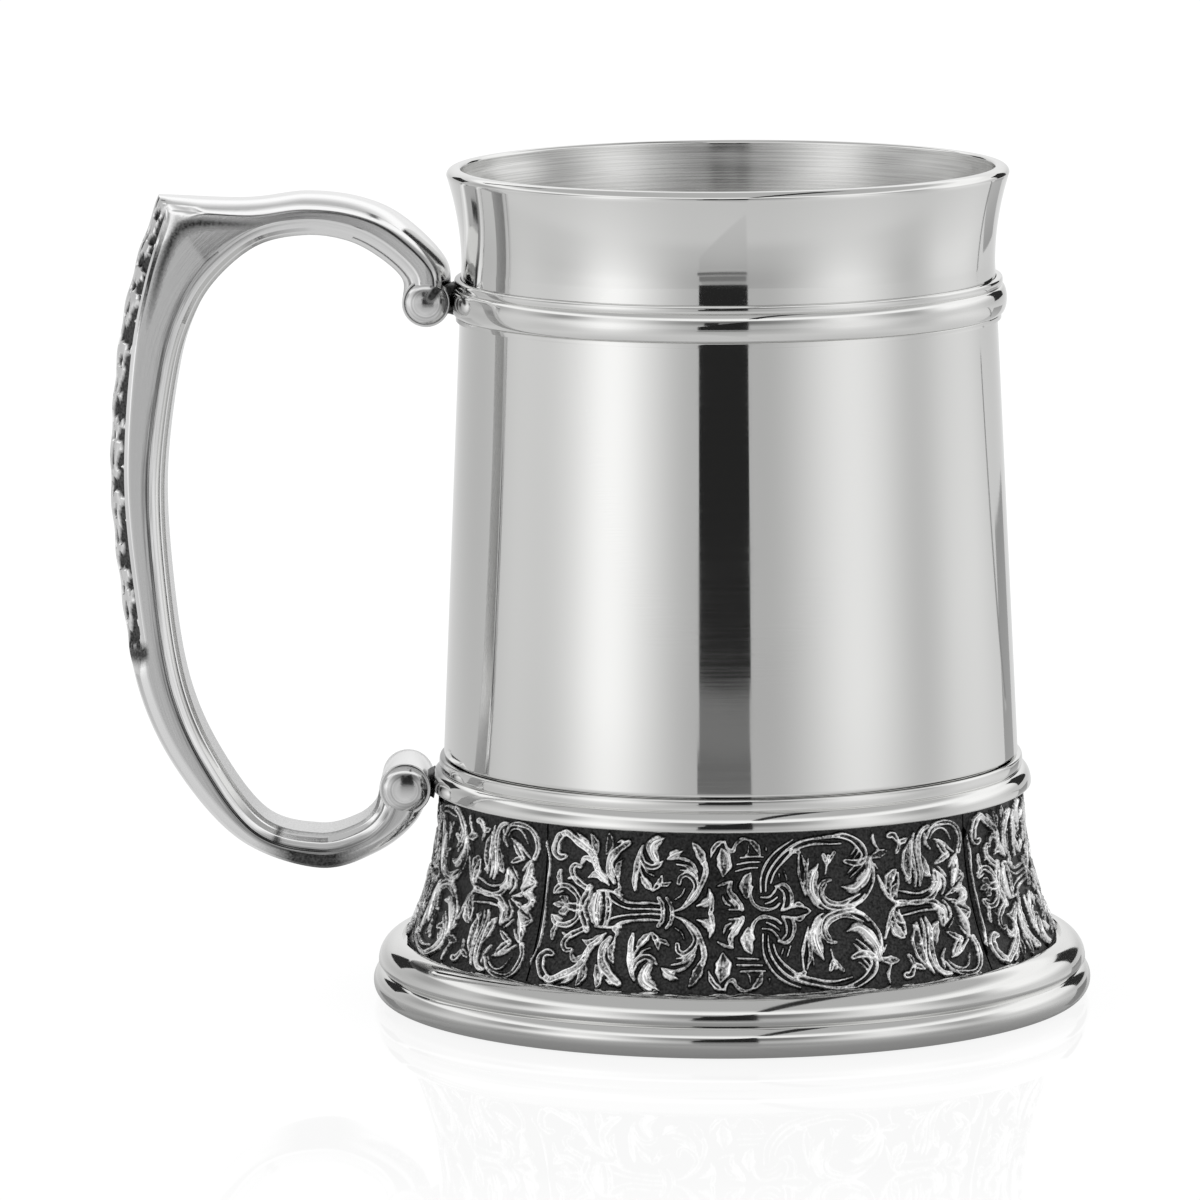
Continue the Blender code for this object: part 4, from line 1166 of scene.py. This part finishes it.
tent_walls = wall_group("tent_walls", wall_lights)
world = bpy.data.worlds.new("studio")
bpy.context.scene.world = world
world.use_nodes = True
tent = world.node_tree
tent.nodes.clear()
way = wired(tent, "SeparateXYZ", {0: wired(tent, "TexCoord").outputs["Generated"]}).outputs
walls = wired(tent, "Group", {"X": way["X"], "Y": way["Y"]}, node_tree=tent_walls)
upper_walls = wired(tent, "Group", {"X": way["X"], "Y": way["Y"]},
                    node_tree=wall_group("upper_walls", upper_lights))
wall_at = wired(tent, "Mix", {
    "Factor": spread(tent, way["Z"], 0.0, 1.0, *upper_walls_from), "A": walls, "B": upper_walls})
ceiling = wired(tent, "Mix", {
    "Factor": spread(tent, way["Z"], 0.0, 1.0, *ceiling_from, interpolation_type="SMOOTHSTEP"),
    "A": wall_at, "B": spread(tent, way["Z"], ceiling_edge, ceiling_middle, *ceiling_middle_from)},
    data_type="RGBA")
backdrop = wired(tent, "Mix", {
    "Factor": wired(tent, "LightPath").outputs["Is Camera Ray"],
    "A": ceiling, "B": (seen_white, seen_white, seen_white, 1.0)}, data_type="RGBA")
wired(tent, "OutputWorld", {"Surface": wired(tent, "Background", {"Color": backdrop})})


def card(name, corners):
    """A flat studio card from its four corners."""
    form = bmesh.new()
    form.faces.new([form.verts.new(c) for c in corners])
    piece = finished(name, form)
    return piece


def blank_material(name):
    """A material without nodes; returns it with its node tree."""
    material = bpy.data.materials.new(name)
    material.use_nodes = True
    material.node_tree.nodes.clear()
    return material, material.node_tree


def glow_material(name, strength):
    """A plain lit or dark surface of one strength."""
    material, tree = blank_material(name)
    light = wired(tree, "Emission", {"Color": (strength, strength, strength, 1.0)})
    wired(tree, "OutputMaterial", {"Surface": light})
    return material


table_half = 2.6
table_front = -0.93
# Levels of the table's glow as the metal sees it: a painted contact shadow by the foot, and the level beyond.
painted_shadow_level, table_far = 0.27, 0.68
contact_shade = 0.91
glaze_near = 0.10
# Reaches from the axis where the painted contact shadow fades out, and where the walls' light painted into
# the table takes over.
painted_shadow_reach, wall_light = (0.053, 0.080), (0.10, 0.70)
contact_reach, glaze_reach = (0.052, 0.085), (0.13, 0.24)
table = card("table", ((-table_half, table_front, 0.0), (table_half, table_front, 0.0),
                       (table_half, table_half, 0.0), (-table_half, table_half, 0.0)))
table_white, table_tree = blank_material("table_white")
table_place = wired(table_tree, "TexCoord").outputs["Object"]
table_way = wired(table_tree, "SeparateXYZ", {0: table_place}).outputs
reach = wired(table_tree, "VectorMath", {0: table_place}, operation="LENGTH").outputs["Value"]
camera_ray = wired(table_tree, "LightPath").outputs["Is Camera Ray"]
# Seen in the metal, the table glows: the walls' light is painted into it, darker close to the foot as a
# painted contact shadow.
painted_table_light = wired(table_tree, "Mix", {
    "Factor": spread(table_tree, reach, 0.0, 1.0, *wall_light),
    "A": spread(table_tree, reach, painted_shadow_level, table_far, *painted_shadow_reach),
    "B": wired(table_tree, "Group", {"X": table_way["X"], "Y": table_way["Y"]}, node_tree=tent_walls)})
table_level = wired(table_tree, "Mix", {"Factor": camera_ray, "A": painted_table_light, "B": seen_white})
shaded = wired(table_tree, "MixShader", {
    "Fac": spread(table_tree, reach, contact_shade, 1.0, *contact_reach, interpolation_type="SMOOTHSTEP"),
    1: wired(table_tree, "BsdfDiffuse", {"Color": (0.9, 0.9, 0.9, 1.0)}),
    2: wired(table_tree, "Emission", {"Strength": table_level})})
shine = wired(table_tree, "Mix", {
    "Factor": camera_ray, "A": wired(table_tree, "Fresnel", {"IOR": 1.35}),
    "B": spread(table_tree, reach, glaze_near, 0.0, *glaze_reach)})
gloss = wired(table_tree, "BsdfGlossy", {"Color": (1.0, 1.0, 1.0, 1.0), "Roughness": 0.025})
glazed = wired(table_tree, "MixShader", {"Fac": shine, 1: shaded, 2: gloss})
wired(table_tree, "OutputMaterial", {"Surface": glazed})
table.data.materials.append(table_white)

# The cards show only in reflections: how light each one is, and its four corners.
opening_y = -0.70
opening_left, opening_right = -0.150, 0.098
opening_bottom, opening_top, opening_low_top = 0.0090, 0.36, 0.12
sill_left, sill_right, sill_y, sill_top = -0.118, 0.072, -0.56, 0.0184
near_left, near_right, near_y, near_top = -0.112, 0.066, -0.50, 0.0092
shade_far_y, shade_z = -0.80, 0.0006
roof_z = 1.2
gap_dark = glow_material("gap_dark", 0.03)
reflected_cards = (
    ("camera_opening", glow_material("opening_dark", 0.022), (
        (opening_left, opening_y, opening_bottom), (opening_right, opening_y, opening_bottom),
        (opening_right, opening_y, opening_top), (opening_left, opening_y, opening_low_top))),
    ("camera_sill", glow_material("sill_grey", 0.21), (
        (sill_left, sill_y, 0.0), (sill_right, sill_y, 0.0),
        (sill_right, sill_y, sill_top), (sill_left, sill_y, sill_top))),
    ("boom", gap_dark, ((-0.52, -3.0, 0.40), (-0.20, -3.0, 0.40), (-0.20, -3.0, 1.0), (-0.52, -3.0, 1.0))),
    ("roof_gap", gap_dark, (
        (0.24, -1.6, roof_z), (0.37, -1.6, roof_z), (0.37, 0.5, roof_z), (0.24, 0.5, roof_z))),
    ("rear_gap", gap_dark, (
        (-1.30, 1.40, roof_z), (-1.15, 1.60, roof_z), (-0.50, 0.95, roof_z), (-0.62, 0.80, roof_z))),
    ("right_gap", gap_dark, (
        (0.80, 1.02, 0.07), (0.51, 1.20, 0.07), (0.51, 1.20, 0.50), (0.80, 1.02, 0.50))),
    ("left_gap", gap_dark, (
        (-0.89, 0.95, 0.22), (-0.57, 1.17, 0.22), (-0.57, 1.17, 0.53), (-0.89, 0.95, 0.53))),
    ("sheet_edge", glow_material("edge_grey", 0.30), (
        (0.215, 0.277, 0.001), (0.225, 0.270, 0.001), (0.855, 0.800, 0.001), (0.840, 0.812, 0.001))),
    ("sill_shade", glow_material("shade_grey", 0.38), (
        (near_left, near_y, shade_z), (sill_right, near_y, shade_z),
        (opening_right, shade_far_y, shade_z), (opening_left, shade_far_y, shade_z))),
    ("near_sill", glow_material("near_grey", 0.165), (
        (near_left, near_y, 0.0), (near_right, near_y, 0.0),
        (near_right, near_y, near_top), (near_left, near_y, near_top))),
)
for name, surface, corners in reflected_cards:
    reflected = card(name, corners)
    reflected.data.materials.append(surface)
    reflected.visible_camera = False
    reflected.visible_diffuse = False
    reflected.visible_shadow = False
